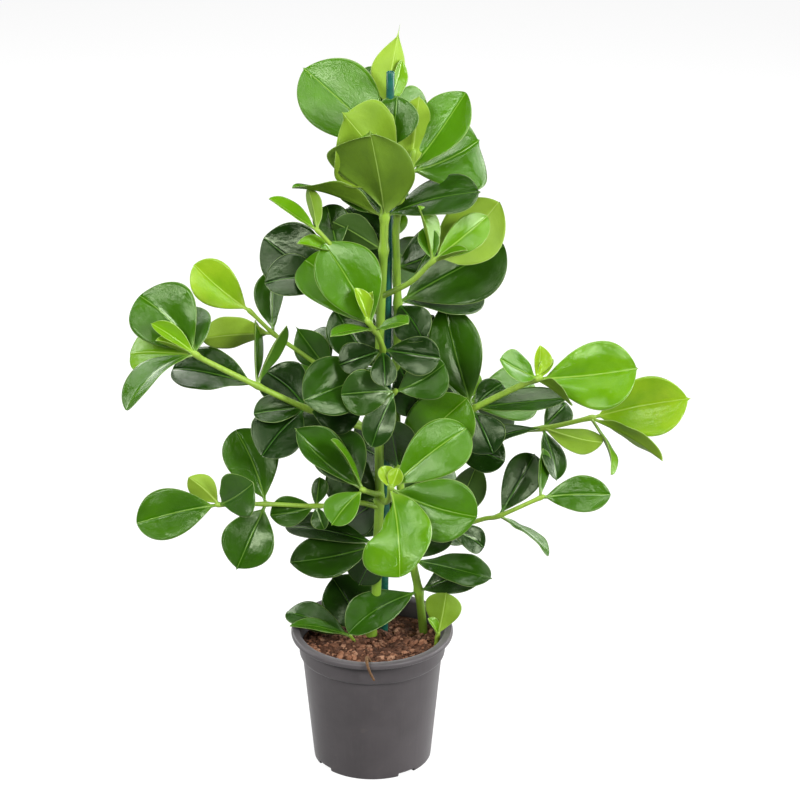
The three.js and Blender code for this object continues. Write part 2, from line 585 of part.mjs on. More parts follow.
// Every node's solid, plain and grown by the gap that its neighbours keep to it.
const nodes = [];
nodes.push({ name: 'pot', kind: 'pot', raw: potSolid, grown: null });
nodes.push({ name: 'stake', kind: 'stake', raw: stakeRaw(0), grown: stakeRaw(GAP) });
SHOOTS.forEach((plan) => {
  const last = plan.joints[plan.joints.length - 1];
  const whole = (grow) => stemSolid(plan, grow).add(jointSolid(plan, last, grow));
  nodes.push({ name: plan.name, kind: 'stem', raw: whole(0), grown: whole(GAP) });
});
SHOOTS.forEach((plan) => {
  plan.joints.slice(0, -1).forEach((item) => {
    nodes.push({
      name: item.name,
      kind: 'leaves',
      raw: jointSolid(plan, item, 0),
      grown: jointSolid(plan, item, GAP),
    });
  });
});
nodes.push({
  name: 'dry_root',
  kind: 'root',
  raw: stemSolid(DRY_ROOT, 0),
  grown: stemSolid(DRY_ROOT, GAP),
});
nodes.push({ name: 'soil', kind: 'soil', raw: soilSolid, grown: soilSolid });

function boxesMeet(a, b) {
  return [0, 1, 2].every((k) => a.min[k] < b.max[k] + 1 && b.min[k] < a.max[k] + 1);
}

// Each node gives way to the nodes before it, and keeps its largest piece.
nodes.forEach((node, i) => {
  let cut = node.raw;
  nodes.slice(0, i).forEach((other) => {
    const keep = other.grown;
    if (keep && boxesMeet(node.raw.boundingBox(), keep.boundingBox())) cut = cut.subtract(keep);
  });
  const pieces = cut.decompose();
  node.final = pieces.reduce((best, piece) => (piece.volume() > best.volume() ? piece : best));
});

const LOOKS = {
  pot: { color: 0x3c383a, roughness: 0.42, metalness: 0 },
  stake: { color: 0x0f5a48, roughness: 0.35, metalness: 0 },
  stem: { color: 0x6f9a1e, roughness: 0.5, metalness: 0 },
  leaves: { color: 0x2c6a12, roughness: 0.25, metalness: 0 },
  root: { color: 0x6a4a26, roughness: 0.85, metalness: 0 },
  soil: { color: 0x3a2218, roughness: 0.95, metalness: 0 },
};

const group = new THREE.Group();
group.name = 'potted_clusia';
nodes.forEach((node) => {
  const made = node.final.getMesh();
  const geometry = new THREE.BufferGeometry();
  geometry.setAttribute('position', new THREE.BufferAttribute(new Float32Array(made.vertProperties), 3));
  geometry.setIndex(new THREE.BufferAttribute(new Uint32Array(made.triVerts), 1));
  geometry.computeVertexNormals();
  const mesh = new THREE.Mesh(geometry, new THREE.MeshStandardMaterial(LOOKS[node.kind]));
  mesh.name = node.name;
  group.add(mesh);
});

export default group;
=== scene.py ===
"""The looks of a potted clusia: glossy paddle leaves on green stems, a stake, peat soil and a nursery pot."""

import math
import random

import bpy
import numpy as np
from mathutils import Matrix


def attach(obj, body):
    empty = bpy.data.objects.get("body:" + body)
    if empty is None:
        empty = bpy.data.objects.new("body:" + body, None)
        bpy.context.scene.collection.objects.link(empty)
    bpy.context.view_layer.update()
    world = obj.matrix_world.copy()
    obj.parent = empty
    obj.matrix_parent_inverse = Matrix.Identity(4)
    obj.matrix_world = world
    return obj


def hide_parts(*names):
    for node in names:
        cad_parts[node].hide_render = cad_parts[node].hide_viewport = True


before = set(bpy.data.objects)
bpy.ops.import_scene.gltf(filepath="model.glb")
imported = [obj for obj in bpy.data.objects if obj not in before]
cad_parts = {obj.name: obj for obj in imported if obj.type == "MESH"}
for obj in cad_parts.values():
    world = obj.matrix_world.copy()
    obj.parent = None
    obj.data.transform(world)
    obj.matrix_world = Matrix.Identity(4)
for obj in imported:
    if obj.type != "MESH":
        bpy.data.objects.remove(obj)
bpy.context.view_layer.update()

MM = 0.001

# Driving dimensions, in millimetres, as in the CAD model.
POT_HEIGHT = 148
LIP_RADIUS = 85
LIP_DROP = 6
BAND_RADIUS = 77.5
BAND_BOTTOM = 120
WALL_TOP_RADIUS = 73.5
BASE_RADIUS = 62
WALL = 2
FOOT_HEIGHT = 4.5
FOOT_WIDTH = 6
FLOOR_THICKNESS = 2.4
NOTCH_ANGLES = (-54, 36, 126, 216)
NOTCH_SPAN = 19
NOTCH_HEIGHT = 3.2
SOIL_LEVEL = 128
SOIL_GAP = 0.4
STAKE_RADIUS = 4
STAKE_BOTTOM = (11.5, 31, 40)
STAKE_TOP = (20, 12, 753)
STAKE_BORE = 2.6
STAKE_BORE_DEPTH = 10
BLADE_THICKNESS = 1.1
RIB_THICKNESS = 1.3
PETIOLE_HALF_WIDTH = 1.7
PETIOLE_THICKNESS = 3.2
PETIOLE_SHARE = 0.09
SHOULDER_POWER = 1.05
TIP_HALF_WIDTH = 0.2
STEM_TAPER = 0.22
KNOT_SWELL = 0.32
KNOT_REACH = 5.0
VIEW_DIP = 23.3
DRY_ROOT_RADIUS = 2.1
DRY_ROOT = [
    [-2, -50, 134], [-4, -64, 145], [-5, -78, 152.8], [-4, -88, 149.5], [-1, -89.6, 141], [3, -88.6, 132]]

# Camera: level with the crown, looking down at the middle of the plant.
CAMERA_PLACE = (0.0293, -3.0, 1.70)
CAMERA_LENS = 144.3

# Places on a leaf, as shares of its length from its base.
CURL_START = 0.55
NOTCH_PLACE = 0.5
NOTCH_SPREAD = 0.12
BLADE_OPEN = 0.25
TIP_START = 0.7
STALK_END = 2.2 * PETIOLE_SHARE

# A wavy margin's second, quicker wave: its height and its pace, beside the first.
OVERTONE_HEIGHT = 0.45
OVERTONE_PACE = 2.3

# Mesh fineness.
LEAF_ROWS = 36
LEAF_COLUMNS = 16
STEM_SIDES = 18
STEM_STEPS = 10
POT_COLUMNS = 160
SOIL_RINGS = 46
SOIL_COLUMNS = 120
STAKE_SIDES = 28
STAKE_STEPS = 40
ROOT_SIDES = 10
ROOT_STEPS = 12
CRUMB_COUNT = 900
CRUMB_RINGS = (4, 7, 7, 4)
CRUMB_HEIGHTS = (-0.9, -0.3, 0.35, 0.9)
CRUMB_SIZES = (1.2, 1.6, 2.0, 2.6, 3.6)

# Leaves whose outline stands out. The widest place, the skew and the curl are shares of the length, ripple
# is the pace of the wavy margin, age replaces the plan's age, and the rest are shares of the width.
LEAF_SHAPES = {
    "shoot_front_tip_leaf_3": {
        "widest": 0.66, "lopsided": 0.04, "wave": 0.08, "ripple": 8.0, "notch": 0.24, "skew": -0.16,
        "point": -0.02, "sway": -0.04, "age": 0.36},
    "shoot_front_tip_leaf_1": {"widest": 0.66, "lopsided": -0.08, "wave": 0.03},
    "shoot_front_tip_leaf_2": {"widest": 0.62, "bulge": 0.05, "wave": 0.05},
    "leaves_crown_lower_leaf_1": {
        "widest": 0.62, "lopsided": 0.14, "wave": 0.07, "ripple": 6.0, "bulge": 0.05, "skew": -0.15,
        "point": 0.05, "age": 0.58},
    "stem_back_tip_leaf_4": {
        "widest": 0.60, "lopsided": -0.12, "wave": 0.08, "ripple": 6.5, "bulge": 0.05, "skew": 0.12,
        "point": 0.08},
    "stem_back_tip_leaf_3": {"widest": 0.56, "wave": 0.09, "bulge": 0.06},
    "shoot_crown_behind_tip_leaf_1": {
        "widest": 0.46, "wave": 0.05, "point": 0.30, "sway": 0.05, "curl": 0.02},
    "stem_front_tip_leaf_1": {"widest": 0.60, "lopsided": -0.04, "point": 0.03, "wave": 0.03},
    "branch_right_tip_leaf_1": {"widest": 0.60, "bulge": 0.055, "wave": 0.04},
    "branch_right_long_tip_leaf_1": {"widest": 0.58, "point": 0.07},
    "leaves_branch_right_middle_leaf_1": {"widest": 0.55, "point": 0.09, "bulge": 0.05},
    "leaves_thin_branch_inner_leaf_1": {"widest": 0.52, "point": 0.12},
}

SHOOTS = []


def leaf(clock, lean, length, width, roll, bend, cup, age, twist=0):
    """One leaf's plan, as in the CAD model: angles in degrees, sizes in millimetres, age from 0 to 1."""
    return {
        "clock": clock, "lean": lean, "length": length, "width": width, "roll": roll,
        "bend": bend, "cup": cup, "age": age, "twist": twist,
    }


def joint(name, index, *leaves):
    return {"name": name, "index": index, "leaves": leaves}


def shoot(name, radius, points, joints):
    SHOOTS.append({"name": name, "radius": radius, "points": points, "joints": joints})


shoot("stem_front", 5.2, [
    [-2, 15, 96], [-1, 15, 130], [4, 12, 174], [6, 8, 240], [8, 6, 293], [8, 5, 344], [8, 4, 406],
    [8, 4, 438], [9, 4, 478], [11, 3, 527], [13, 2, 570], [14, 0, 606], [17, -2, 646], [19, 0, 676],
    [20, 0, 704]], [
    joint("leaves_at_stem_foot", 1,
        leaf(326, -8, 74, 58, 0, 8, 12, 0.9)),
    joint("leaves_low_left", 3,
        leaf(283, 6, 98, 36, 44, 14, 10, 0.95),
        leaf(259, 16, 96, 46, 20, 10, 8, 0.85),
        leaf(205, -24, 50, 38, 0, 10, 8, 1)),
    joint("leaves_middle_left", 4,
        leaf(296, 12, 62, 56, 14, 14, 8, 0.9),
        leaf(232, -50, 66, 46, 0, 10, 10, 0.9)),
    joint("leaves_mid_front", 7,
        leaf(249, 26, 90, 62, 12, 20, 8, 0.85),
        leaf(325, -8, 80, 52, 0, 6, 10, 0.95)),
    joint("leaves_upper_left", 10,
        leaf(301, 6, 58, 36, 156, 6, 14, 1),
        leaf(320, -28, 68, 42, 10, 6, 14, 0.95),
        leaf(335, -50, 76, 50, 0, 10, 10, 0.9)),
    joint("leaves_crown_lower", 11,
        leaf(350, 46, 110, 82, 178, -14, 8, 0.45),
        leaf(291, 12, 98, 54, 104, 8, 16, 0.5, -40),
        leaf(322, -28, 62, 52, 20, 12, 10, 0.8),
        leaf(76, 12, 98, 58, -42, 14, 12, 0.85)),
    joint("leaves_crown_tip", 13,
        leaf(314, -6, 118, 76, 4, 8, 8, 0.5),
        leaf(8, 15, 54, 44, 0, 6, 14, 0.7))])
shoot("stem_back", 4.6, [
    [56, 30, 96], [54, 27, 130], [49, 27, 176], [42, 26, 213], [35, 24, 255], [28, 22, 320], [26, 18, 378],
    [26, 16, 445], [27, 15, 508], [26, 12, 552], [26, 8, 600], [38, 5, 651], [42, 4, 668]], [
    joint("leaves_low_right", 2,
        leaf(72, 6, 76, 42, -34, 34, 12, 0.9),
        leaf(244, 32, 96, 46, 34, 16, 8, 0.85)),
    joint("leaves_low_right_upper", 3,
        leaf(103, 18, 88, 44, -46, 22, 10, 0.85),
        leaf(35, -20, 62, 42, 0, 10, 10, 0.9)),
    joint("leaves_middle_right", 5,
        leaf(43, 38, 124, 68, 0, 8, 10, 0.45),
        leaf(350, 44, 68, 42, 0, 8, 10, 0.95),
        leaf(300, -50, 70, 48, 0, 10, 10, 0.9)),
    joint("leaves_behind_middle", 7,
        leaf(72, -12, 58, 38, -24, 10, 10, 0.95),
        leaf(38, -16, 64, 42, -10, 8, 10, 1),
        leaf(150, -14, 64, 48, 0, 10, 10, 1),
        leaf(330, -45, 84, 56, 0, 10, 10, 0.95)),
    joint("leaves_large_right", 8,
        leaf(62, -4, 122, 76, -6, 8, 6, 0.8),
        leaf(84, -24, 96, 58, -40, 10, 8, 0.95),
        leaf(146, 26, 52, 40, 0, 10, 8, 1)),
    joint("leaves_crown_right", 11,
        leaf(35, -2, 98, 56, -22, -6, 22, 0.5),
        leaf(63, -28, 92, 80, 2, 10, 8, 0.6),
        leaf(7, 12, 76, 40, 200, -12, 26, 0.15),
        leaf(310, 35, 98, 84, 178, -16, 5, 0.25))])
shoot("shoot_crown_behind", 2.4, [
    [19, 0, 668], [10, 5, 680], [8, 20, 691], [13, 31, 700], [16, 34, 706]], [
    joint("", 4,
        leaf(9, 2, 76, 36, 190, -8, 30, 0.1),
        leaf(18, 0, 52, 20, 50, 4, 20, 0.25),
        leaf(325, -30, 60, 40, 0, 4, 14, 0.7),
        leaf(70, -40, 56, 36, 0, 4, 14, 0.5))])
shoot("shoot_upper_right", 3.0, [
    [11, 3, 520], [39, -20, 544], [56, -32, 566], [62, -35, 573]], [
    joint("", 3,
        leaf(347, 6, 56, 28, 60, -10, 40, 0.3),
        leaf(344, -6, 34, 22, 10, -6, 26, 0.5),
        leaf(50, -4, 70, 34, -6, -6, 18, 0.35),
        leaf(72, 24, 38, 20, -72, -8, 30, 0.4),
        leaf(48, -32, 102, 64, 176, 20, 10, 0.2))])
shoot("shoot_upper_left", 2.6, [
    [11, 3, 520], [-14, 0, 548], [-32, -10, 572], [-45, -15, 589], [-52, -18, 598]], [
    joint("leaves_young_upper_left", 2,
        leaf(286, 14, 42, 24, 56, -14, 40, 0.3),
        leaf(346, -20, 52, 36, 0, -6, 16, 0.8)),
    joint("", 4,
        leaf(305, 4, 58, 24, 56, -6, 28, 0.35),
        leaf(349, -6, 44, 18, 150, -6, 30, 0.4))])
shoot("shoot_left_high", 3.0, [
    [10, 4, 500], [-10, 14, 512], [-24, 16, 522], [-34, 18, 530]], [
    joint("", 3,
        leaf(301, -8, 88, 70, 12, 8, 16, 0.95),
        leaf(270, 12, 74, 50, 34, 10, 10, 0.95),
        leaf(20, -52, 70, 44, 0, 6, 14, 0.85))])
shoot("shoot_centre", 3.2, [
    [8, 4, 446], [12, -22, 472], [8, -40, 494], [4, -48, 504], [-2, -56, 516]], [
    joint("leaves_centre_lower", 1,
        leaf(252, -4, 46, 32, 10, 10, 12, 0.95),
        leaf(98, 2, 58, 40, -10, 14, 12, 0.95),
        leaf(176, 24, 40, 26, 0, 12, 12, 1)),
    joint("leaves_centre_fan", 3,
        leaf(330, 2, 100, 64, 2, 6, 10, 0.5),
        leaf(316, -22, 112, 60, 6, 8, 12, 0.5),
        leaf(262, 30, 50, 30, 70, 26, 10, 0.4),
        leaf(76, 36, 42, 32, -70, 16, 10, 0.4)),
    joint("", 4,
        leaf(341, 4, 36, 18, 24, -6, 44, 0.05),
        leaf(8, 2, 30, 16, -36, -6, 44, 0.1))])
shoot("shoot_mid_front", 3.0, [
    [8, 4, 402], [14, -12, 414], [22, -26, 426], [24, -30, 430]], [
    joint("", 3,
        leaf(267, 14, 56, 46, -4, 26, 10, 0.8),
        leaf(61, 8, 58, 46, 6, 20, 10, 0.8),
        leaf(203, 12, 62, 32, 4, 20, 12, 0.95))])
shoot("branch_left", 3.4, [
    [8, 4, 372], [-32, 0, 384], [-66, -10, 403], [-114, -25, 434], [-165, -40, 468], [-174, -44, 476]], [
    joint("leaves_branch_left_inner", 2,
        leaf(312, -28, 62, 50, 10, 8, 12, 1),
        leaf(264, 8, 54, 36, 36, 12, 10, 0.9),
        leaf(222, 14, 68, 58, 22, 14, 10, 1),
        leaf(96, -14, 56, 44, 10, 8, 12, 1)),
    joint("leaves_branch_left_middle", 3,
        leaf(283, -22, 100, 52, 30, 12, 10, 0.9),
        leaf(24, -6, 68, 30, 74, -24, 20, 0.5),
        leaf(357, -28, 76, 24, 76, -8, 20, 0.6)),
    joint("", 5,
        leaf(316, -10, 86, 70, 2, 8, 12, 0.65),
        leaf(350, -34, 60, 40, 0, 8, 12, 0.75),
        leaf(273, -26, 80, 50, 22, 10, 12, 0.25),
        leaf(306, 12, 54, 22, 24, -10, 48, 0.2),
        leaf(290, 18, 44, 18, 60, -10, 48, 0.15),
        leaf(230, 8, 94, 46, 58, 74, 12, 0.6))])
shoot("branch_left_thin", 2.6, [
    [26, 16, 400], [-8, 26, 412], [-42, 25, 428], [-82, 30, 455], [-100, 30, 469], [-123, 28, 494]], [
    joint("leaves_thin_branch_inner", 2,
        leaf(323, 6, 56, 36, -14, 6, 14, 0.8),
        leaf(330, -40, 66, 40, 0, 8, 14, 0.9)),
    joint("leaves_thin_branch_fork", 4,
        leaf(1, -4, 68, 38, -28, -4, 30, 0.75),
        leaf(266, 8, 74, 38, 148, 22, 18, 0.2)),
    joint("", 5,
        leaf(310, 0, 74, 45, 0, 8, 12, 0.12))])
shoot("branch_right", 3.8, [
    [28, 22, 338], [48, 12, 356], [70, 5, 374], [103, -5, 400], [146, -20, 430], [167, -28, 443]], [
    joint("leaves_branch_right_inner", 2,
        leaf(350, -30, 56, 40, 10, 8, 12, 0.9),
        leaf(60, -40, 60, 40, -10, 8, 12, 0.95)),
    joint("leaves_branch_right_middle", 3,
        leaf(345, -4, 112, 54, -8, 6, 16, 0.75),
        leaf(85, 10, 98, 42, -56, 12, 10, 0.85),
        leaf(50, -36, 50, 30, -10, 6, 12, 0.9),
        leaf(155, 8, 50, 44, 0, 10, 10, 1)),
    joint("", 5,
        leaf(84, -6, 102, 70, -6, 8, 10, 0.35),
        leaf(296, 30, 50, 36, 40, 18, 16, 0.45),
        leaf(130, 26, 48, 32, -100, 26, 14, 0.45),
        leaf(6, 4, 34, 22, 20, -10, 44, 0.05),
        leaf(40, 0, 26, 16, -30, -10, 44, 0.08))])
shoot("branch_right_long", 3.2, [
    [28, 24, 318], [52, 28, 332], [81, 30, 343], [126, 35, 356], [177, 35, 361], [226, 30, 375]], [
    joint("leaves_long_branch_inner", 2,
        leaf(104, 16, 60, 42, -20, 12, 10, 1),
        leaf(40, -46, 62, 42, -10, 8, 12, 0.9)),
    joint("leaves_long_branch_middle", 4,
        leaf(106, 26, 70, 30, 150, -12, 16, 0.3),
        leaf(162, 12, 56, 32, -40, 14, 14, 0.9),
        leaf(44, -28, 44, 30, 0, 8, 12, 0.9),
        leaf(258, 22, 66, 28, 62, 12, 14, 0.9)),
    joint("", 5,
        leaf(79, 0, 102, 62, 0, 8, 12, 0.1),
        leaf(120, 8, 86, 34, -112, 16, 14, 0.2),
        leaf(157, 28, 70, 26, -78, 22, 14, 0.3))])
shoot("branch_right_low", 2.8, [
    [35, 24, 252], [56, 16, 252], [81, 10, 258], [116, 0, 274], [132, -5, 280], [174, -10, 303]], [
    joint("leaves_low_branch_inner", 2,
        leaf(24, -12, 74, 40, 150, -8, 14, 0.95),
        leaf(118, -8, 42, 28, -20, 10, 10, 0.95)),
    joint("leaves_low_branch_middle", 4,
        leaf(29, -4, 74, 40, -12, 8, 14, 0.95),
        leaf(125, 8, 66, 28, -72, 14, 12, 0.7)),
    joint("", 5,
        leaf(2, 2, 50, 24, 58, -6, 20, 0.6),
        leaf(88, 4, 72, 38, -14, 30, 12, 0.6))])
shoot("shoot_front", 3.6, [
    [8, 6, 296], [14, -22, 304], [18, -50, 320], [20, -70, 341]], [
    joint("", 3,
        leaf(51, 2, 98, 56, -8, 6, 10, 0.45),
        leaf(108, 8, 92, 64, 2, 14, 6, 0.6),
        leaf(174, 26, 96, 70, 0, 24, 6, 0.18),
        leaf(340, 0, 24, 18, 10, -8, 26, 0.08),
        leaf(20, 8, 22, 17, -10, -8, 26, 0.1))])
shoot("shoot_front_left", 3.2, [
    [8, 6, 300], [4, -20, 312], [-2, -42, 324], [-8, -54, 332]], [
    joint("", 3,
        leaf(312, 8, 94, 52, 44, -24, 34, 0.75, -50),
        leaf(326, -30, 76, 56, 6, 8, 12, 0.9),
        leaf(222, 16, 48, 36, 26, 12, 12, 0.5),
        leaf(330, 24, 66, 22, 76, 10, 16, 0.4))])
shoot("branch_left_low", 2.8, [
    [8, 6, 284], [-10, -8, 296], [-30, -16, 299], [-57, -20, 298], [-108, -30, 305], [-155, -40, 309]], [
    joint("leaves_low_left_inner", 3,
        leaf(259, 6, 48, 32, 12, 8, 14, 0.75),
        leaf(8, 6, 30, 18, 24, 6, 20, 0.75),
        leaf(160, 20, 26, 18, 10, 6, 20, 0.8)),
    joint("leaves_low_left_middle", 4,
        leaf(338, -4, 82, 56, 2, 8, 12, 0.65),
        leaf(204, 8, 72, 54, 0, 10, 12, 0.75)),
    joint("", 5,
        leaf(257, 0, 86, 52, 8, 10, 12, 0.6),
        leaf(313, 6, 42, 28, 172, -8, 26, 0.15),
        leaf(58, 42, 54, 50, 0, -6, 20, 0.7))])
shoot("sprout_right", 2.6, [
    [66, 2, 100], [68, -5, 134], [69, -7, 142]], [
    joint("", 2,
        leaf(11, 6, 46, 40, 176, -20, 24, 0.25),
        leaf(335, 30, 24, 14, 60, 10, 24, 0.3))])
shoot("leaf_stalk_left", 1.8, [
    [-14, 2, 104], [-18, -2, 130], [-22, -6, 140]], [
    joint("", 2,
        leaf(283, 4, 66, 24, 68, 12, 12, 0.7),
        leaf(292, -18, 78, 38, 44, 16, 8, 0.9))])
shoot("branch_back_high", 3.2, [
    [26, 14, 520], [22, 44, 534], [14, 76, 552]], [
    joint("leaves_back_high_lower", 1,
        leaf(64, -40, 86, 56, -10, 10, 12, 0.85),
        leaf(300, -44, 84, 54, 10, 10, 12, 0.9)),
    joint("", 2,
        leaf(350, -38, 82, 56, 0, 10, 12, 0.7),
        leaf(120, -60, 86, 58, 0, 12, 12, 0.6),
        leaf(230, -60, 84, 56, 0, 12, 12, 0.65),
        leaf(30, -30, 40, 20, 0, -6, 30, 0.3))])
shoot("branch_back_left", 3.2, [
    [8, 5, 362], [-6, 40, 358], [-20, 78, 354], [-32, 110, 354]], [
    joint("leaves_back_left_inner", 2,
        leaf(288, -24, 84, 54, 10, 10, 12, 0.95),
        leaf(150, -50, 86, 56, 0, 12, 12, 0.85)),
    joint("", 3,
        leaf(298, -40, 90, 60, 6, 10, 12, 0.6),
        leaf(236, -44, 90, 60, 0, 12, 12, 0.7),
        leaf(60, -40, 76, 50, 0, 10, 12, 0.8),
        leaf(350, -50, 44, 22, 0, -6, 30, 0.25))])
shoot("branch_back_right", 3.2, [
    [28, 20, 358], [52, 56, 356], [78, 96, 352], [96, 124, 350]], [
    joint("leaves_back_right_inner", 2,
        leaf(330, -30, 80, 54, 0, 10, 12, 0.95),
        leaf(186, -46, 84, 56, 0, 12, 12, 0.85)),
    joint("", 3,
        leaf(76, -30, 94, 62, -8, 10, 12, 0.55),
        leaf(140, -46, 88, 58, 0, 12, 12, 0.7),
        leaf(340, -40, 80, 54, 0, 10, 12, 0.75),
        leaf(20, -20, 42, 22, 0, -6, 30, 0.25))])
shoot("branch_back_low", 3.0, [
    [42, 26, 214], [38, 70, 230], [24, 110, 250]], [
    joint("leaves_back_low_inner", 1,
        leaf(80, -34, 82, 54, -8, 12, 12, 0.9),
        leaf(284, -30, 82, 54, 8, 12, 12, 0.95)),
    joint("", 2,
        leaf(60, -30, 86, 58, 0, 12, 12, 0.7),
        leaf(170, -62, 84, 56, 0, 12, 12, 0.75),
        leaf(300, -34, 84, 56, 0, 12, 12, 0.7))])


# Meshes.
def mesh_object(name, vertices, faces, smooth=True):
    """A new mesh object from millimetre vertices."""
    mesh = bpy.data.meshes.new(name)
    mesh.from_pydata((np.asarray(vertices, dtype=float) * MM).tolist(), [], faces)
    mesh.validate()
    made = bpy.data.objects.new(name, mesh)
    bpy.context.collection.objects.link(made)
    for polygon in mesh.polygons:
        polygon.use_smooth = smooth
    return made


def add_vectors(obj, name, values):
    """A vector for each vertex, for the materials to read."""
    data = obj.data.attributes.new(name, "FLOAT_VECTOR", "POINT")
    data.data.foreach_set("vector", np.asarray(values, dtype=np.float32).ravel())


def finish_piece(obj, material, replaced=()):
    """Gives a piece its material and its body, and hides the CAD nodes it stands for."""
    obj.data.materials.append(material)
    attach(obj, "root")
    for node in replaced:
        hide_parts(node)


def catmull(points, t):
    """The point at t on a smooth path through the points, and the path's direction there."""
    i = min(int(t), len(points) - 2)
    u = t - i
    p1 = points[i]
    p2 = points[i + 1]
    p0 = points[i - 1] if i > 0 else 2 * p1 - p2
    p3 = points[i + 2] if i + 2 < len(points) else 2 * p2 - p1
    b = p2 - p0
    c = 2 * p0 - 5 * p1 + 4 * p2 - p3
    d = 3 * p1 - p0 - 3 * p2 + p3
    place = 0.5 * (2 * p1 + b * u + c * u * u + d * u ** 3)
    slope = 0.5 * (b + 2 * c * u + 3 * d * u * u)
    return place, slope / np.linalg.norm(slope)


def sweep(centres, tangents, radii, sides):
    """Rings round a path, closed at both ends: (vertices, faces, share of the path at each vertex)."""
    vertices = []
    shares = []
    side = np.array([0.0, 1.0, 0.0])
    angles = np.linspace(0, 2 * math.pi, sides, endpoint=False)
    for k, (centre, tangent, radius) in enumerate(zip(centres, tangents, radii)):
        side = side - side.dot(tangent) * tangent
        side = side / np.linalg.norm(side)
        other = np.cross(tangent, side)
        for angle in angles:
            vertices.append(centre + radius * (math.cos(angle) * side + math.sin(angle) * other))
            shares.append(k / (len(centres) - 1))
    faces = []
    for k in range(len(centres) - 1):
        for j in range(sides):
            a = k * sides + j
            b = k * sides + (j + 1) % sides
            faces.append((a, b, b + sides, a + sides))
    last = (len(centres) - 1) * sides
    faces.append(tuple(range(sides - 1, -1, -1)))
    faces.append(tuple(range(last, last + sides)))
    return vertices, faces, shares


# Node materials.
class Nodes:
    """A short way to write a material's nodes."""

    def __init__(self, name):
        self.material = bpy.data.materials.new(name)
        self.material.use_nodes = True
        self.tree = self.material.node_tree
        self.shader = self.tree.nodes["Principled BSDF"]

    def add(self, kind, **settings):
        node = self.tree.nodes.new(kind)
        for key, value in settings.items():
            setattr(node, key, value)
        return node

    def link(self, source, target):
        self.tree.links.new(source, target)

    def feed(self, value, socket):
        if isinstance(value, (int, float, tuple)):
            socket.default_value = value
        else:
            self.link(value, socket)

    def math(self, operation, a, b=0.0, c=0.0):
        node = self.add("ShaderNodeMath", operation=operation)
        for value, socket in zip((a, b, c), node.inputs):
            self.feed(value, socket)
        return node.outputs[0]

    def smooth(self, value, low, high, out_low=0.0, out_high=1.0):
        node = self.add("ShaderNodeMapRange", interpolation_type="SMOOTHSTEP")
        for socket, given in zip(node.inputs[:5], (value, low, high, out_low, out_high)):
            self.feed(given, socket)
        return node.outputs[0]

    def mix(self, share, a, b):
        node = self.add("ShaderNodeMix", data_type="RGBA")
        self.feed(share, node.inputs[0])
        self.feed(a, node.inputs[6])
        self.feed(b, node.inputs[7])
        return node.outputs[2]

    def noise(self, vector, scale, detail=3.0, roughness=0.5):
        node = self.add("ShaderNodeTexNoise")
        self.link(vector, node.inputs["Vector"])
        node.inputs["Scale"].default_value = scale
        node.inputs["Detail"].default_value = detail
        node.inputs["Roughness"].default_value = roughness
        return node.outputs[0]

    def attribute(self, name):
        """The three numbers of a vertex attribute, and the vector itself."""
        node = self.add("ShaderNodeAttribute", attribute_name=name)
        split = self.add("ShaderNodeSeparateXYZ")
        self.link(node.outputs["Vector"], split.inputs[0])
        return split.outputs[0], split.outputs[1], split.outputs[2], node.outputs["Vector"]

    def place(self):
        return self.add("ShaderNodeTexCoord").outputs["Object"]

    def stretched(self, vector, scale):
        node = self.add("ShaderNodeMapping")
        self.link(vector, node.inputs["Vector"])
        node.inputs["Scale"].default_value = scale
        return node.outputs[0]

    def ramp(self, value, *stops):
        node = self.add("ShaderNodeValToRGB")
        elements = node.color_ramp.elements
        while len(elements) < len(stops):
            elements.new(1.0)
        for element, (position, colour) in zip(elements, stops):
            element.position = position
            element.color = (*colour, 1.0)
        self.link(value, node.inputs[0])
        return node.outputs[0]

    def bump(self, height, strength, distance):
        node = self.add("ShaderNodeBump")
        node.inputs["Strength"].default_value = strength
        node.inputs["Distance"].default_value = distance
        self.link(height, node.inputs["Height"])
        self.link(node.outputs[0], self.shader.inputs["Normal"])

    def set(self, socket, value):
        self.feed(value, self.shader.inputs[socket])


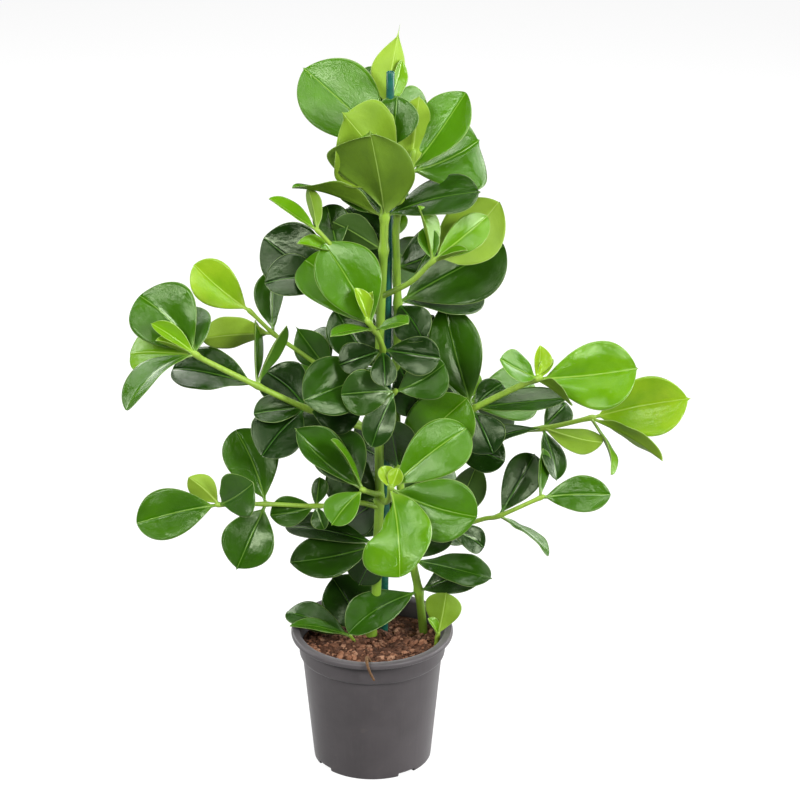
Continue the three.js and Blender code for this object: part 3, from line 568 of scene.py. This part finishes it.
def leaf_material(name, upper):
    """One face of the leaves. leaf_mm holds mm across, mm along and mm in from the margin; leaf_life holds
    age, share along and a number that differs from leaf to leaf."""
    n = Nodes(name)
    across, along, margin, millimetres = n.attribute("leaf_mm")
    age, share, chance, _ = n.attribute("leaf_life")
    off_rib = n.math("ABSOLUTE", across)
    patch = n.noise(millimetres, 0.035, 3.0, 0.5)
    fleck = n.noise(millimetres, 0.9, 3.0, 0.6)
    # Veins leave the midrib at a slant and bend a little towards the tip.
    slant = n.math("MULTIPLY_ADD", off_rib, -0.85, along)
    wander = n.noise(millimetres, 0.12, 2.0, 0.5)
    phase = n.math("MULTIPLY_ADD", wander, 5.0, n.math("MULTIPLY", slant, 2.5))
    vein = n.math("POWER", n.math("ABSOLUTE", n.math("SINE", phase)), 5.0)
    vein = n.math("MULTIPLY", vein, n.smooth(off_rib, 0.8, 4.0))
    rib_edge = n.math("MULTIPLY_ADD", share, -0.7, 1.25)
    rib = n.smooth(off_rib, n.math("MULTIPLY", rib_edge, 0.35), rib_edge, 1.0, 0.0)
    rim = n.smooth(margin, 0.25, 0.95, 1.0, 0.0)
    tone = n.math("MULTIPLY_ADD", n.math("SUBTRACT", patch, 0.5), 0.28, age)
    tone = n.math("MULTIPLY_ADD", n.math("SUBTRACT", chance, 0.5), 0.1, tone)
    if upper:
        blade = n.ramp(
            tone,
            (0.0, (0.33, 0.50, 0.020)), (0.2, (0.150, 0.345, 0.003)), (0.45, (0.062, 0.205, 0.001)),
            (0.7, (0.024, 0.098, 0.001)), (0.9, (0.009, 0.038, 0.0015)), (1.0, (0.005, 0.021, 0.0015)))
        rib_colour = n.mix(age, (0.40, 0.60, 0.08, 1.0), (0.060, 0.20, 0.018, 1.0))
        vein_colour = n.mix(age, (0.33, 0.54, 0.04, 1.0), (0.030, 0.13, 0.010, 1.0))
        blade = n.mix(n.math("MULTIPLY", vein, 0.22), blade, vein_colour)
        rib_share = n.smooth(age, 0.2, 1.0, 0.85, 0.5)
        rib_share = n.math("MULTIPLY", rib, rib_share)
    else:
        blade = n.ramp(
            tone,
            (0.0, (0.32, 0.50, 0.040)), (0.35, (0.150, 0.270, 0.012)), (0.65, (0.075, 0.150, 0.010)),
            (1.0, (0.030, 0.070, 0.010)))
        rib_colour = n.mix(age, (0.42, 0.60, 0.11, 1.0), (0.16, 0.28, 0.05, 1.0))
        blade = n.mix(n.math("MULTIPLY", vein, 0.14), blade, rib_colour)
        rib_share = n.math("MULTIPLY", rib, 0.9)
    blade = n.mix(n.smooth(fleck, 0.45, 0.75, 0.0, 0.12), blade, n.mix(0.5, blade, (0.0, 0.0, 0.0, 1.0)))
    blade = n.mix(n.smooth(share, 0.04, 0.22, 0.6, 0.0), blade, rib_colour)
    blade = n.mix(rib_share, blade, rib_colour)
    rim_colour = n.mix(age, (0.42, 0.58, 0.16, 1.0), (0.17, 0.26, 0.07, 1.0))
    blade = n.mix(n.math("MULTIPLY", rim, 0.7), blade, rim_colour)
    n.set("Base Color", blade)
    gloss = n.noise(millimetres, 0.08, 4.0, 0.6)
    smoothest, roughest = (0.10, 0.24) if upper else (0.38, 0.52)
    rough = n.smooth(gloss, 0.3, 0.7, smoothest, roughest)
    rough = n.math("MULTIPLY_ADD", n.smooth(fleck, 0.5, 0.8), 0.07, rough)
    n.set("Roughness", rough)
    height = n.math("MULTIPLY_ADD", vein, 0.35 if upper else 0.2, n.math("MULTIPLY", patch, 2.4))
    height = n.math("MULTIPLY_ADD", fleck, 0.05, height)
    pucker = n.noise(millimetres, 0.16, 2.0, 0.5)
    height = n.math("MULTIPLY_ADD", pucker, 0.9, height)
    height = n.math("MULTIPLY_ADD", rib, -0.8 if upper else 0.8, height)
    n.bump(height, 0.6, 0.0004)
    n.set("Specular IOR Level", 0.55 if upper else 0.25)
    n.set("Specular Tint", (0.84, 1.0, 0.66, 1.0))
    return n.material


def stem_material():
    """Fresh green with long streaks and pale pores. stem_life holds the stem's age, from 0 to 1."""
    n = Nodes("green_stem")
    life, _, _, _ = n.attribute("stem_life")
    place = n.place()
    streak = n.noise(n.stretched(place, (420.0, 420.0, 45.0)), 1.0, 4.0, 0.6)
    patch = n.noise(place, 22.0, 3.0, 0.55)
    lenticel = n.noise(n.stretched(place, (900.0, 900.0, 500.0)), 1.0, 2.0, 0.5)
    colour = n.ramp(
        n.math("MULTIPLY_ADD", n.math("SUBTRACT", patch, 0.5), 0.7, life),
        (0.0, (0.34, 0.52, 0.055)), (0.5, (0.235, 0.42, 0.030)), (1.0, (0.13, 0.25, 0.028)))
    colour = n.mix(n.smooth(streak, 0.45, 0.75, 0.0, 0.35), colour, (0.10, 0.20, 0.02, 1.0))
    colour = n.mix(n.smooth(lenticel, 0.66, 0.74, 0.0, 0.5), colour, (0.42, 0.46, 0.20, 1.0))
    n.set("Base Color", colour)
    n.set("Roughness", n.smooth(streak, 0.3, 0.8, 0.36, 0.55))
    n.bump(n.math("MULTIPLY_ADD", lenticel, 0.4, streak), 0.35, 0.0005)
    return n.material


def pot_material():
    """Satin dark grey plastic with long drag marks, fine specks and a little dust."""
    n = Nodes("nursery_pot_plastic")
    place = n.place()
    haze = n.noise(place, 14.0, 4.0, 0.6)
    drag = n.noise(n.stretched(place, (260.0, 260.0, 9.0)), 1.0, 5.0, 0.65)
    speck = n.noise(place, 900.0, 2.0, 0.5)
    dust = n.noise(place, 60.0, 6.0, 0.7)
    colour = n.mix(n.smooth(haze, 0.3, 0.7), (0.062, 0.054, 0.057, 1.0), (0.084, 0.074, 0.078, 1.0))
    colour = n.mix(n.smooth(drag, 0.5, 0.8, 0.0, 0.3), colour, (0.096, 0.086, 0.088, 1.0))
    colour = n.mix(n.smooth(dust, 0.58, 0.75, 0.0, 0.25), colour, (0.15, 0.125, 0.11, 1.0))
    n.set("Base Color", colour)
    n.set("Roughness", n.math("MULTIPLY_ADD", dust, 0.2, n.smooth(haze, 0.25, 0.75, 0.30, 0.42)))
    n.bump(n.math("MULTIPLY_ADD", speck, 0.4, n.math("MULTIPLY", drag, 0.6)), 0.16, 0.0006)
    n.set("Sheen Weight", 0.35)
    n.set("Sheen Roughness", 0.4)
    return n.material


def soil_material(name, lighter):
    """Peat and bark. crumb_tone holds how light each spot is, from 0 to 1."""
    n = Nodes(name)
    place = n.place()
    grain = n.noise(place, 260.0, 8.0, 0.7)
    clump = n.noise(place, 60.0, 4.0, 0.6)
    shade, _, _, _ = n.attribute("crumb_tone")
    colour = n.ramp(
        n.math("MULTIPLY_ADD", n.math("SUBTRACT", grain, 0.5), 0.9, shade),
        (0.0, (0.036, 0.017, 0.010)), (0.35, (0.145, 0.064, 0.036)), (0.7, (0.34, 0.155, 0.085)),
        (1.0, (0.48, 0.27, 0.165)))
    colour = n.mix(n.smooth(clump, 0.4, 0.7, 0.0, lighter), colour, (0.17, 0.085, 0.055, 1.0))
    n.set("Base Color", colour)
    n.set("Roughness", n.smooth(grain, 0.3, 0.7, 0.78, 0.96))
    n.bump(n.math("MULTIPLY_ADD", clump, 2.0, grain), 0.9, 0.0022)
    n.set("Specular IOR Level", 0.25)
    return n.material


def stake_material():
    """Dark green coated cane with faint rings and scuffs."""
    n = Nodes("stake_coating")
    place = n.place()
    rings = n.noise(n.stretched(place, (20.0, 20.0, 160.0)), 1.0, 3.0, 0.5)
    scuff = n.noise(place, 180.0, 5.0, 0.7)
    colour = n.mix(n.smooth(rings, 0.3, 0.7), (0.006, 0.085, 0.058, 1.0), (0.010, 0.125, 0.088, 1.0))
    colour = n.mix(n.smooth(scuff, 0.6, 0.75, 0.0, 0.4), colour, (0.06, 0.22, 0.17, 1.0))
    n.set("Base Color", colour)
    n.set("Roughness", n.smooth(scuff, 0.3, 0.7, 0.24, 0.4))
    n.bump(rings, 0.25, 0.0005)
    return n.material


def dry_material():
    """Brown fibrous bark."""
    n = Nodes("dry_root_bark")
    place = n.place()
    fibre = n.noise(n.stretched(place, (700.0, 500.0, 130.0)), 1.0, 6.0, 0.7)
    blotch = n.noise(place, 120.0, 3.0, 0.6)
    colour = n.ramp(
        fibre, (0.25, (0.045, 0.020, 0.008)), (0.5, (0.150, 0.075, 0.026)), (0.8, (0.33, 0.19, 0.075)))
    colour = n.mix(n.smooth(blotch, 0.5, 0.7, 0.0, 0.5), colour, (0.14, 0.065, 0.025, 1.0))
    n.set("Base Color", colour)
    n.set("Roughness", n.smooth(fibre, 0.3, 0.8, 0.7, 0.9))
    n.bump(fibre, 0.8, 0.0012)
    return n.material


LEAF_UPPER = leaf_material("leaf_upper_face", True)
LEAF_UNDER = leaf_material("leaf_under_face", False)
STEM = stem_material()
POT = pot_material()
SOIL = soil_material("peat_bed", 0.25)
CRUMB = soil_material("bark_crumbs", 0.4)
STAKE = stake_material()
DRY = dry_material()


# Leaves.
def leaf_axes(plan):
    """The leaf's own axes: along it, out of its upper face, and across it."""
    dip = math.radians(VIEW_DIP)
    clock, lean, roll = (math.radians(plan[key]) for key in ("clock", "lean", "roll"))
    right = np.array([1.0, 0.0, 0.0])
    toward = np.array([0.0, -math.cos(dip), math.sin(dip)])
    upward = np.array([0.0, math.sin(dip), math.cos(dip)])
    along = math.cos(lean) * (math.sin(clock) * right + math.cos(clock) * upward) + math.sin(lean) * toward
    facing = toward - toward.dot(along) * along
    facing /= np.linalg.norm(facing)
    normal = math.cos(roll) * facing + math.sin(roll) * np.cross(along, facing)
    return along, normal, np.cross(along, normal)


def leaf_half_width(plan, s, widest):
    """Half the width at share s of the length: a narrow stalk, then a paddle, widest at the given share."""
    if s <= PETIOLE_SHARE:
        return PETIOLE_HALF_WIDTH
    q = min((s - PETIOLE_SHARE) / (1 - PETIOLE_SHARE), 1.0)
    tip_power = SHOULDER_POWER * (1 - widest) / widest
    blade = (q / widest) ** SHOULDER_POWER * ((1 - q) / (1 - widest)) ** tip_power
    return PETIOLE_HALF_WIDTH * (1 - q) + plan["width"] / 2 * blade


def leaf_rows(count):
    """Shares along the leaf, closer together near the round tip."""
    return [math.sin(0.5 * math.pi * k / count) ** 1.15 for k in range(count + 1)]


def leaf_shape(name, age, rng):
    """The small differences between leaves: each is drawn at random, and LEAF_SHAPES overrides a few."""
    shape = {
        "widest": rng.uniform(0.575, 0.665),
        "lopsided": rng.uniform(-0.10, 0.10),
        "wave": rng.uniform(0.018, 0.05),
        "ripple": rng.uniform(5.0, 9.0),
        "bulge": rng.uniform(0.012, 0.035),
        "sway": rng.uniform(-0.07, 0.07),
        "point": rng.uniform(-0.035, 0.05),
        "curl": rng.uniform(-0.10, 0.05),
        "notch": 0.0,
        "skew": 0.0,
        "age": age,
    }
    shape.update(LEAF_SHAPES.get(name, {}))
    return shape


def build_leaf(name, plan, base, seed):
    """One leaf as a closed thin solid with two faces, in the plan's place."""
    rng = random.Random(seed)
    shape = leaf_shape(name, plan["age"], rng)
    along, normal, across = leaf_axes(plan)
    bend = math.radians(plan["bend"])
    cup = math.radians(plan["cup"])
    reach = plan["length"] / bend
    width = plan["width"]
    wave_phases = [rng.uniform(0, 2 * math.pi) for _ in range(4)]
    ripple = shape["ripple"]
    rows = leaf_rows(LEAF_ROWS)
    tops, lows, facts, lives = [], [], [], []
    chance = rng.random()
    for s in rows:
        phi = bend * (s - 0.5)
        x = reach * (math.sin(phi) + math.sin(bend / 2))
        z = reach * (math.cos(phi) - math.cos(bend / 2))
        rise = math.cos(phi) * normal + math.sin(phi) * along
        turn = math.radians(plan["twist"]) * (s - 0.5)
        side = math.cos(turn) * across - math.sin(turn) * rise
        up = math.cos(turn) * rise + math.sin(turn) * across
        shift = shape["skew"] * math.sin(math.pi * s)
        left_half = right_half = TIP_HALF_WIDTH
        if s < 0.999:
            left_half = leaf_half_width(plan, s - shift, shape["widest"])
            right_half = leaf_half_width(plan, s + shift, shape["widest"])
        curl = plan["length"] * shape["curl"] * max(0.0, (s - CURL_START) / (1 - CURL_START)) ** 2
        sway = width * shape["sway"] * math.sin(math.pi * s)
        stalk = max(0.0, 1 - s / STALK_END)
        centre = base + along * x + normal * z + side * sway + up * curl
        for j in range(LEAF_COLUMNS + 1):
            t = 2 * j / LEAF_COLUMNS - 1
            t = math.copysign(abs(t) ** 0.9, t)
            half = right_half if t > 0 else left_half
            offset = t * half * (1 + math.copysign(shape["lopsided"], t))
            if t > 0:
                offset *= 1 - shape["notch"] * math.exp(-(((s - NOTCH_PLACE) / NOTCH_SPREAD) ** 2))
            blade_share = min(1.0, s / BLADE_OPEN)
            fold = abs(offset) * math.sin(cup) * (0.45 + 0.55 * abs(t)) * blade_share
            swell = width * shape["bulge"] * math.sin(math.pi * abs(t)) * math.sin(math.pi * s)
            first, second = wave_phases[:2] if t > 0 else wave_phases[2:]
            wave = math.sin(ripple * s + first)
            wave += OVERTONE_HEIGHT * math.sin(OVERTONE_PACE * ripple * s + second)
            wave *= width * shape["wave"] * t * t * blade_share * (1 - 0.4 * s)
            tip = width * shape["point"] * max(0.0, 1 - abs(t) / 0.6)
            tip *= max(0.0, (s - TIP_START) / (1 - TIP_START)) ** 2
            point = centre + side * offset * math.cos(0.8 * cup) + up * (fold + swell + wave) + along * tip
            edge = 1 - abs(t) ** 4
            rib = RIB_THICKNESS * math.exp(-((offset / 1.8) ** 2)) * (1 - 0.75 * s)
            thick = BLADE_THICKNESS * (0.45 + 0.55 * edge) * (1 - 0.3 * s)
            round_stalk = PETIOLE_THICKNESS / 2 * math.sqrt(max(0.0, 1 - t * t)) * stalk
            tops.append(point + up * (thick * 0.5 * (1 - stalk) + round_stalk))
            lows.append(point - up * ((thick * 0.5 + rib) * (1 - stalk) + round_stalk))
            facts.append((offset, s * plan["length"], (1 - abs(t)) * half))
            lives.append((shape["age"], s, chance))
    stride = LEAF_COLUMNS + 1
    count = len(tops)
    faces, unders = [], []
    for i in range(len(rows) - 1):
        for j in range(LEAF_COLUMNS):
            a = i * stride + j
            faces.append((a, a + stride, a + stride + 1, a + 1))
            unders.append((a + count, a + 1 + count, a + stride + 1 + count, a + stride + count))
    rim = [i * stride for i in range(len(rows))]
    rim += [(len(rows) - 1) * stride + j for j in range(1, stride)]
    rim += [i * stride + LEAF_COLUMNS for i in range(len(rows) - 2, -1, -1)]
    rim += [j for j in range(LEAF_COLUMNS - 1, 0, -1)]
    edges = []
    for k, a in enumerate(rim):
        b = rim[(k + 1) % len(rim)]
        edges.append((a, a + count, b + count, b))
    obj = mesh_object(name, tops + lows, faces + unders + edges)
    add_vectors(obj, "leaf_mm", facts + facts)
    add_vectors(obj, "leaf_life", lives + lives)
    obj.data.materials.append(LEAF_UPPER)
    obj.data.materials.append(LEAF_UNDER)
    for polygon in obj.data.polygons:
        if len(faces) <= polygon.index < len(faces) + len(unders):
            polygon.material_index = 1
    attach(obj, "root")
    return obj


def build_stem(plan):
    """A shoot's stem, swollen and ringed where its leaves join, with a bud at its end."""
    points = [np.array(p, dtype=float) for p in plan["points"]]
    steps = STEM_STEPS * (len(points) - 1)
    knots = [item["index"] for item in plan["joints"]]
    centres, tangents, radii, lives = [], [], [], []
    for k in range(steps + 1):
        t = k / STEM_STEPS
        centre, tangent = catmull(points, t)
        radius = plan["radius"] * (1 - STEM_TAPER * t / (len(points) - 1))
        gap = min(np.linalg.norm(centre - points[knot]) for knot in knots)
        radius *= 1 + KNOT_SWELL * math.exp(-((gap / KNOT_REACH) ** 2))
        centres.append(centre)
        tangents.append(tangent)
        radii.append(radius)
    # The bud: its rings' places beyond the last joint, and their radii.
    for step, share in ((1.2, 0.95), (2.2, 0.8), (3.0, 0.5), (3.5, 0.12)):
        centres.append(centres[steps] + tangents[steps] * plan["radius"] * 0.55 * step)
        tangents.append(tangents[steps])
        radii.append(radii[steps] * share)
    vertices, faces, shares = sweep(centres, tangents, radii, STEM_SIDES)
    obj = mesh_object(plan["name"] + "_stem", vertices, faces)
    life = 0.6 if plan["radius"] > 4 else 0.35
    add_vectors(obj, "stem_life", [(life * (1 - 0.4 * share), 0, 0) for share in shares])
    finish_piece(obj, STEM, [plan["name"]])


def build_plant():
    """Every stem, and every leaf as its own piece. A joint's first leaf stands for the joint's CAD node."""
    seed = 1
    for plan in SHOOTS:
        build_stem(plan)
        points = [np.array(p, dtype=float) for p in plan["points"]]
        last = plan["joints"][-1]
        for item in plan["joints"]:
            label = item["name"] if item is not last else plan["name"] + "_tip"
            for number, leaf_plan in enumerate(item["leaves"], 1):
                obj = build_leaf(f"{label}_leaf_{number}", leaf_plan, points[item["index"]], seed)
                if item is not last and number == 1:
                    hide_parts(item["name"])
                seed += 1


# Pot.
def notch_share(angle):
    """1 inside a drain notch, 0 outside, at an angle in degrees from the front."""
    for notch in NOTCH_ANGLES:
        away = abs((angle - notch + 180) % 360 - 180)
        if away < NOTCH_SPAN / 2:
            return 1
    return 0


def pot_profile(foot):
    """Radius and height round the pot's section: foot, outer wall, lip, inner wall and floor."""
    top = POT_HEIGHT
    floor_top = FOOT_HEIGHT + FLOOR_THICKNESS
    outline = [
        (BASE_RADIUS - FOOT_WIDTH, FOOT_HEIGHT), (BASE_RADIUS - FOOT_WIDTH, foot + 0.3),
        (BASE_RADIUS - FOOT_WIDTH + 0.4, foot), (BASE_RADIUS - 0.8, foot),
        (BASE_RADIUS + foot * 0.1, foot + 0.7),
    ]
    slope = (WALL_TOP_RADIUS - BASE_RADIUS) / BAND_BOTTOM
    for height in np.linspace(6, BAND_BOTTOM - 1.6, 22):
        outline.append((BASE_RADIUS + slope * height, height))
    outline += [
        (WALL_TOP_RADIUS - 0.1, BAND_BOTTOM - 0.8), (WALL_TOP_RADIUS + 0.5, BAND_BOTTOM),
        (BAND_RADIUS - 2.4, BAND_BOTTOM + 0.5), (BAND_RADIUS - 1.5, BAND_BOTTOM + 1.0),
        (BAND_RADIUS - 1.1, BAND_BOTTOM + 2.0),
    ]
    for height in np.linspace(BAND_BOTTOM + 4, top - LIP_DROP - 1.2, 8):
        outline.append((BAND_RADIUS - 1.0 + (height - BAND_BOTTOM) / (top - BAND_BOTTOM), height))
    outline += [(BAND_RADIUS + 0.4, top - LIP_DROP - 0.4), (BAND_RADIUS + 1.2, top - LIP_DROP)]
    corner = 1.6
    outline.append((LIP_RADIUS - corner, top - LIP_DROP))
    for angle in (-60, -30, 0):
        outline.append((LIP_RADIUS - corner + corner * math.cos(math.radians(angle)),
                        top - LIP_DROP + corner + corner * math.sin(math.radians(angle))))
    round_top = 2.4
    for angle in (0, 30, 60, 90):
        outline.append((LIP_RADIUS - round_top + round_top * math.cos(math.radians(angle)),
                        top - round_top + round_top * math.sin(math.radians(angle))))
    outline += [
        (BAND_RADIUS + 2, top - 0.2), (BAND_RADIUS - 0.6, top - 0.5), (BAND_RADIUS - WALL + 0.3, top - 1.4),
        (BAND_RADIUS - WALL, top - 3), (BAND_RADIUS - WALL - 1, BAND_BOTTOM + 2),
        (WALL_TOP_RADIUS - WALL, BAND_BOTTOM - 1), (BASE_RADIUS - WALL + 0.6, floor_top), (6, floor_top),
        (6, FOOT_HEIGHT),
    ]
    return outline


def build_pot():
    """The pot as its section turned about the axis, with a close pair of columns at each notch's edge."""
    angles = [k * 360 / POT_COLUMNS for k in range(POT_COLUMNS)]
    for notch in NOTCH_ANGLES:
        for edge in (-NOTCH_SPAN / 2, NOTCH_SPAN / 2):
            angles += [(notch + edge - 0.25) % 360, (notch + edge + 0.25) % 360]
    angles.sort()
    vertices, faces = [], []
    size = len(pot_profile(0))
    for angle in angles:
        direction = math.radians(angle - 90)
        for radius, height in pot_profile(NOTCH_HEIGHT * notch_share(angle)):
            vertices.append((radius * math.cos(direction), radius * math.sin(direction), height))
    for k in range(len(angles)):
        after = (k + 1) % len(angles)
        for i in range(size):
            j = (i + 1) % size
            faces.append((k * size + i, after * size + i, after * size + j, k * size + j))
    obj = mesh_object("nursery_pot", vertices, faces)
    shading = obj.modifiers.new("soft_edges", "WEIGHTED_NORMAL")
    shading.keep_sharp = True
    finish_piece(obj, POT, ["pot"])


# Soil.
def soil_height(radius, angle):
    """The lumpy surface, a little higher in the middle."""
    bumps = math.sin(radius * 0.21 + 2.1 * math.cos(3 * angle)) + math.cos(5 * angle + radius * 0.13)
    edge = radius / (BAND_RADIUS - WALL)
    return SOIL_LEVEL + 1.5 * bumps + 4 * (1 - edge * edge)


def soil_radius(height):
    """The pot's inner radius at a height, less the gap."""
    share = min(max((height - FOOT_HEIGHT) / BAND_BOTTOM, 0), 1)
    return BASE_RADIUS - WALL + (WALL_TOP_RADIUS - BASE_RADIUS) * share - SOIL_GAP


def build_soil():
    """The soil as one closed bed: a rough top, the pot's taper and a flat underside."""
    rng = random.Random(7)
    rings, columns = SOIL_RINGS, SOIL_COLUMNS
    top_radius = BAND_RADIUS - WALL - 1.6
    vertices, tones, faces = [], [], []
    for i in range(rings + 1):
        radius = top_radius * (i / rings) ** 0.8
        for j in range(columns):
            angle = 2 * math.pi * j / columns
            rough = rng.uniform(-0.9, 0.9) if i < rings else 0
            height = soil_height(radius, angle) - 1 + rough
            vertices.append((radius * math.cos(angle), radius * math.sin(angle), height))
            tones.append((0.25 + 0.12 * rough, 0, 0))
    for height in (BAND_BOTTOM - 2, FOOT_HEIGHT + FLOOR_THICKNESS + SOIL_GAP):
        radius = soil_radius(height)
        for j in range(columns):
            angle = 2 * math.pi * j / columns
            vertices.append((radius * math.cos(angle), radius * math.sin(angle), height))
            tones.append((0.2, 0, 0))
    for i in range(rings + 2):
        for j in range(columns):
            a = i * columns + j
            b = i * columns + (j + 1) % columns
            faces.append((a, a + columns, b + columns, b))
    last = (rings + 2) * columns
    faces.append(tuple(range(last + columns - 1, last - 1, -1)))
    obj = mesh_object("peat_soil", vertices, faces)
    add_vectors(obj, "crumb_tone", tones)
    finish_piece(obj, SOIL, ["soil"])


def crumb(rng, centre, size, flat):
    """An uneven lump: a coarse ball with its points pushed about and squashed."""
    turn = rng.uniform(0, math.pi)
    tilt = rng.uniform(-0.5, 0.5)
    vertices = []
    for i, (height, count) in enumerate(zip(CRUMB_HEIGHTS, CRUMB_RINGS)):
        ring = math.sqrt(1 - height * height)
        for j in range(count):
            angle = 2 * math.pi * (j + 0.5 * (i % 2)) / count
            push = rng.uniform(0.72, 1.2)
            x = ring * math.cos(angle) * push * 1.35
            y = ring * math.sin(angle) * push * 0.85
            z = height * push * flat + tilt * x * 0.5
            vertices.append((
                centre[0] + size * (x * math.cos(turn) - y * math.sin(turn)),
                centre[1] + size * (x * math.sin(turn) + y * math.cos(turn)),
                centre[2] + size * z,
            ))
    return vertices


def crumb_faces(start):
    """The faces between a crumb's rings, whose point counts differ, and over its two ends."""
    faces = [tuple(start + k for k in reversed(range(CRUMB_RINGS[0])))]
    first = start
    for here, there in zip(CRUMB_RINGS, CRUMB_RINGS[1:]):
        i = j = 0
        while i < here or j < there:
            a = first + i % here
            b = first + here + j % there
            if j >= there or (i < here and (i + 1) / here <= (j + 1) / there):
                faces.append((a, first + (i + 1) % here, b))
                i += 1
            else:
                faces.append((a, first + here + (j + 1) % there, b))
                j += 1
        first += here
    faces.append(tuple(first + k for k in range(CRUMB_RINGS[-1])))
    return faces


def build_crumbs():
    """Loose bark over the soil, half sunk in it."""
    rng = random.Random(11)
    vertices, faces, tones = [], [], []
    for _ in range(CRUMB_COUNT):
        radius = (BAND_RADIUS - WALL - 6) * math.sqrt(rng.random())
        angle = rng.uniform(0, 2 * math.pi)
        size = rng.choice(CRUMB_SIZES) * rng.uniform(0.8, 1.25)
        height = soil_height(radius, angle) + size * rng.uniform(-0.5, 0.25)
        tone = rng.uniform(0.15, 0.95) ** 1.3
        centre = (radius * math.cos(angle), radius * math.sin(angle), height)
        lump = crumb(rng, centre, size, rng.uniform(0.4, 0.8))
        faces += crumb_faces(len(vertices))
        vertices += lump
        tones += [(tone, 0, 0)] * len(lump)
    obj = mesh_object("bark_crumbs_on_soil", vertices, faces, smooth=False)
    add_vectors(obj, "crumb_tone", tones)
    finish_piece(obj, CRUMB)


# Stake and dry root.
def build_stake():
    """The stake, with slight rings, a rounded end and an open bore at its top."""
    bottom = np.array(STAKE_BOTTOM, dtype=float)
    top = np.array(STAKE_TOP, dtype=float)
    length = np.linalg.norm(top - bottom)
    axis = (top - bottom) / length
    heights = np.linspace(0, length - 0.6, STAKE_STEPS)
    rings = [(h, STAKE_RADIUS * (1 + 0.012 * math.sin(h * 0.9))) for h in heights]
    rings += [(length - 0.15, STAKE_RADIUS - 0.2), (length, STAKE_RADIUS - 0.6), (length, STAKE_BORE + 0.2)]
    rings += [(length - 0.3, STAKE_BORE), (length - STAKE_BORE_DEPTH, STAKE_BORE)]
    centres = [bottom + axis * h for h, _ in rings]
    vertices, faces, _ = sweep(centres, [axis] * len(rings), [r for _, r in rings], STAKE_SIDES)
    obj = mesh_object("plant_stake", vertices, faces)
    finish_piece(obj, STAKE, ["stake"])


def build_dry_root():
    """The dry root over the rim, thinner towards its end and uneven."""
    rng = random.Random(3)
    points = [np.array(p, dtype=float) for p in DRY_ROOT]
    steps = ROOT_STEPS * (len(points) - 1)
    centres, tangents, radii = [], [], []
    for k in range(steps + 1):
        centre, tangent = catmull(points, k / ROOT_STEPS)
        centres.append(centre)
        tangents.append(tangent)
        taper = 1 - 0.45 * k / steps
        radii.append(DRY_ROOT_RADIUS * taper * rng.uniform(0.82, 1.15))
    radii[-1] *= 0.5
    vertices, faces, _ = sweep(centres, tangents, radii, ROOT_SIDES)
    finish_piece(mesh_object("dry_root_over_rim", vertices, faces), DRY, ["dry_root"])


# Studio.
def area_light(name, place, target, size, power):
    """A soft rectangular light that faces its target."""
    data = bpy.data.lights.new(name, "AREA")
    data.shape = "RECTANGLE"
    data.size, data.size_y = size
    data.energy = power
    obj = bpy.data.objects.new(name, data)
    obj.location = place
    away = np.array(place) - np.array(target)
    obj.rotation_euler = (
        math.atan2(math.hypot(away[0], away[1]), away[2]), 0.0, math.atan2(away[0], -away[1]))
    bpy.context.collection.objects.link(obj)


def build_floor():
    """A wide, plain, pale floor."""
    mesh = bpy.data.meshes.new("studio_floor")
    side = 30.0
    corners = [(-side, -side, 0), (side, -side, 0), (side, side, 0), (-side, side, 0)]
    mesh.from_pydata(corners, [], [(0, 1, 2, 3)])
    floor = bpy.data.objects.new("studio_floor", mesh)
    bpy.context.collection.objects.link(floor)
    n = Nodes("pale_floor")
    n.set("Base Color", (0.20, 0.20, 0.20, 1.0))
    n.set("Roughness", 0.9)
    n.set("Specular IOR Level", 0.0)
    n.set("Emission Color", (1.0, 1.0, 1.0, 1.0))
    # Bright to the eye and in reflections, but dim as a light, so that the leaves keep their shade.
    rays = n.add("ShaderNodeLightPath")
    mirrored = n.math("MULTIPLY_ADD", rays.outputs["Is Glossy Ray"], 0.22, 0.015)
    n.set("Emission Strength", n.math("MULTIPLY_ADD", rays.outputs["Is Camera Ray"], 0.86, mirrored))
    mesh.materials.append(n.material)


def build_lights():
    """A dim even world, two keys from the front, soft top and back light, and low lights along the sides."""
    world = bpy.data.worlds.new("studio_world")
    bpy.context.scene.world = world
    world.use_nodes = True
    background = world.node_tree.nodes["Background"]
    background.inputs["Color"].default_value = (1.0, 1.0, 1.0, 1.0)
    background.inputs["Strength"].default_value = 0.03
    middle = (0.03, 0.0, 0.45)
    low = (0.0, 0.0, 0.22)
    area_light("key_left", (-1.4, -1.9, 2.2), middle, (1.0, 0.8), 55)
    area_light("key_right", (1.7, -1.6, 1.6), middle, (0.7, 1.1), 58)
    area_light("front_high", (0.3, -1.6, 2.8), middle, (0.9, 0.5), 18)
    area_light("top_soft", (0.1, 0.5, 2.4), middle, (1.2, 1.2), 24)
    area_light("side_left", (-1.7, 0.3, 0.5), low, (0.5, 0.9), 12)
    area_light("side_right", (1.7, 0.3, 0.5), low, (0.5, 0.9), 20)
    area_light("back_left", (-1.3, 1.7, 1.5), middle, (0.9, 1.2), 24)
    area_light("back_right", (1.4, 1.6, 1.2), middle, (0.8, 1.1), 20)


def build_camera():
    """The camera, and a plain view of the colours."""
    data = bpy.data.cameras.new("view_camera")
    data.lens = CAMERA_LENS
    data.clip_end = 50
    camera = bpy.data.objects.new("view_camera", data)
    camera.location = CAMERA_PLACE
    camera.rotation_euler = (math.radians(90 - VIEW_DIP), 0, 0)
    bpy.context.collection.objects.link(camera)
    scene = bpy.context.scene
    scene.camera = camera
    scene.view_settings.view_transform = "Standard"


build_plant()
build_pot()
build_soil()
build_crumbs()
build_stake()
build_dry_root()
build_floor()
build_lights()
build_camera()
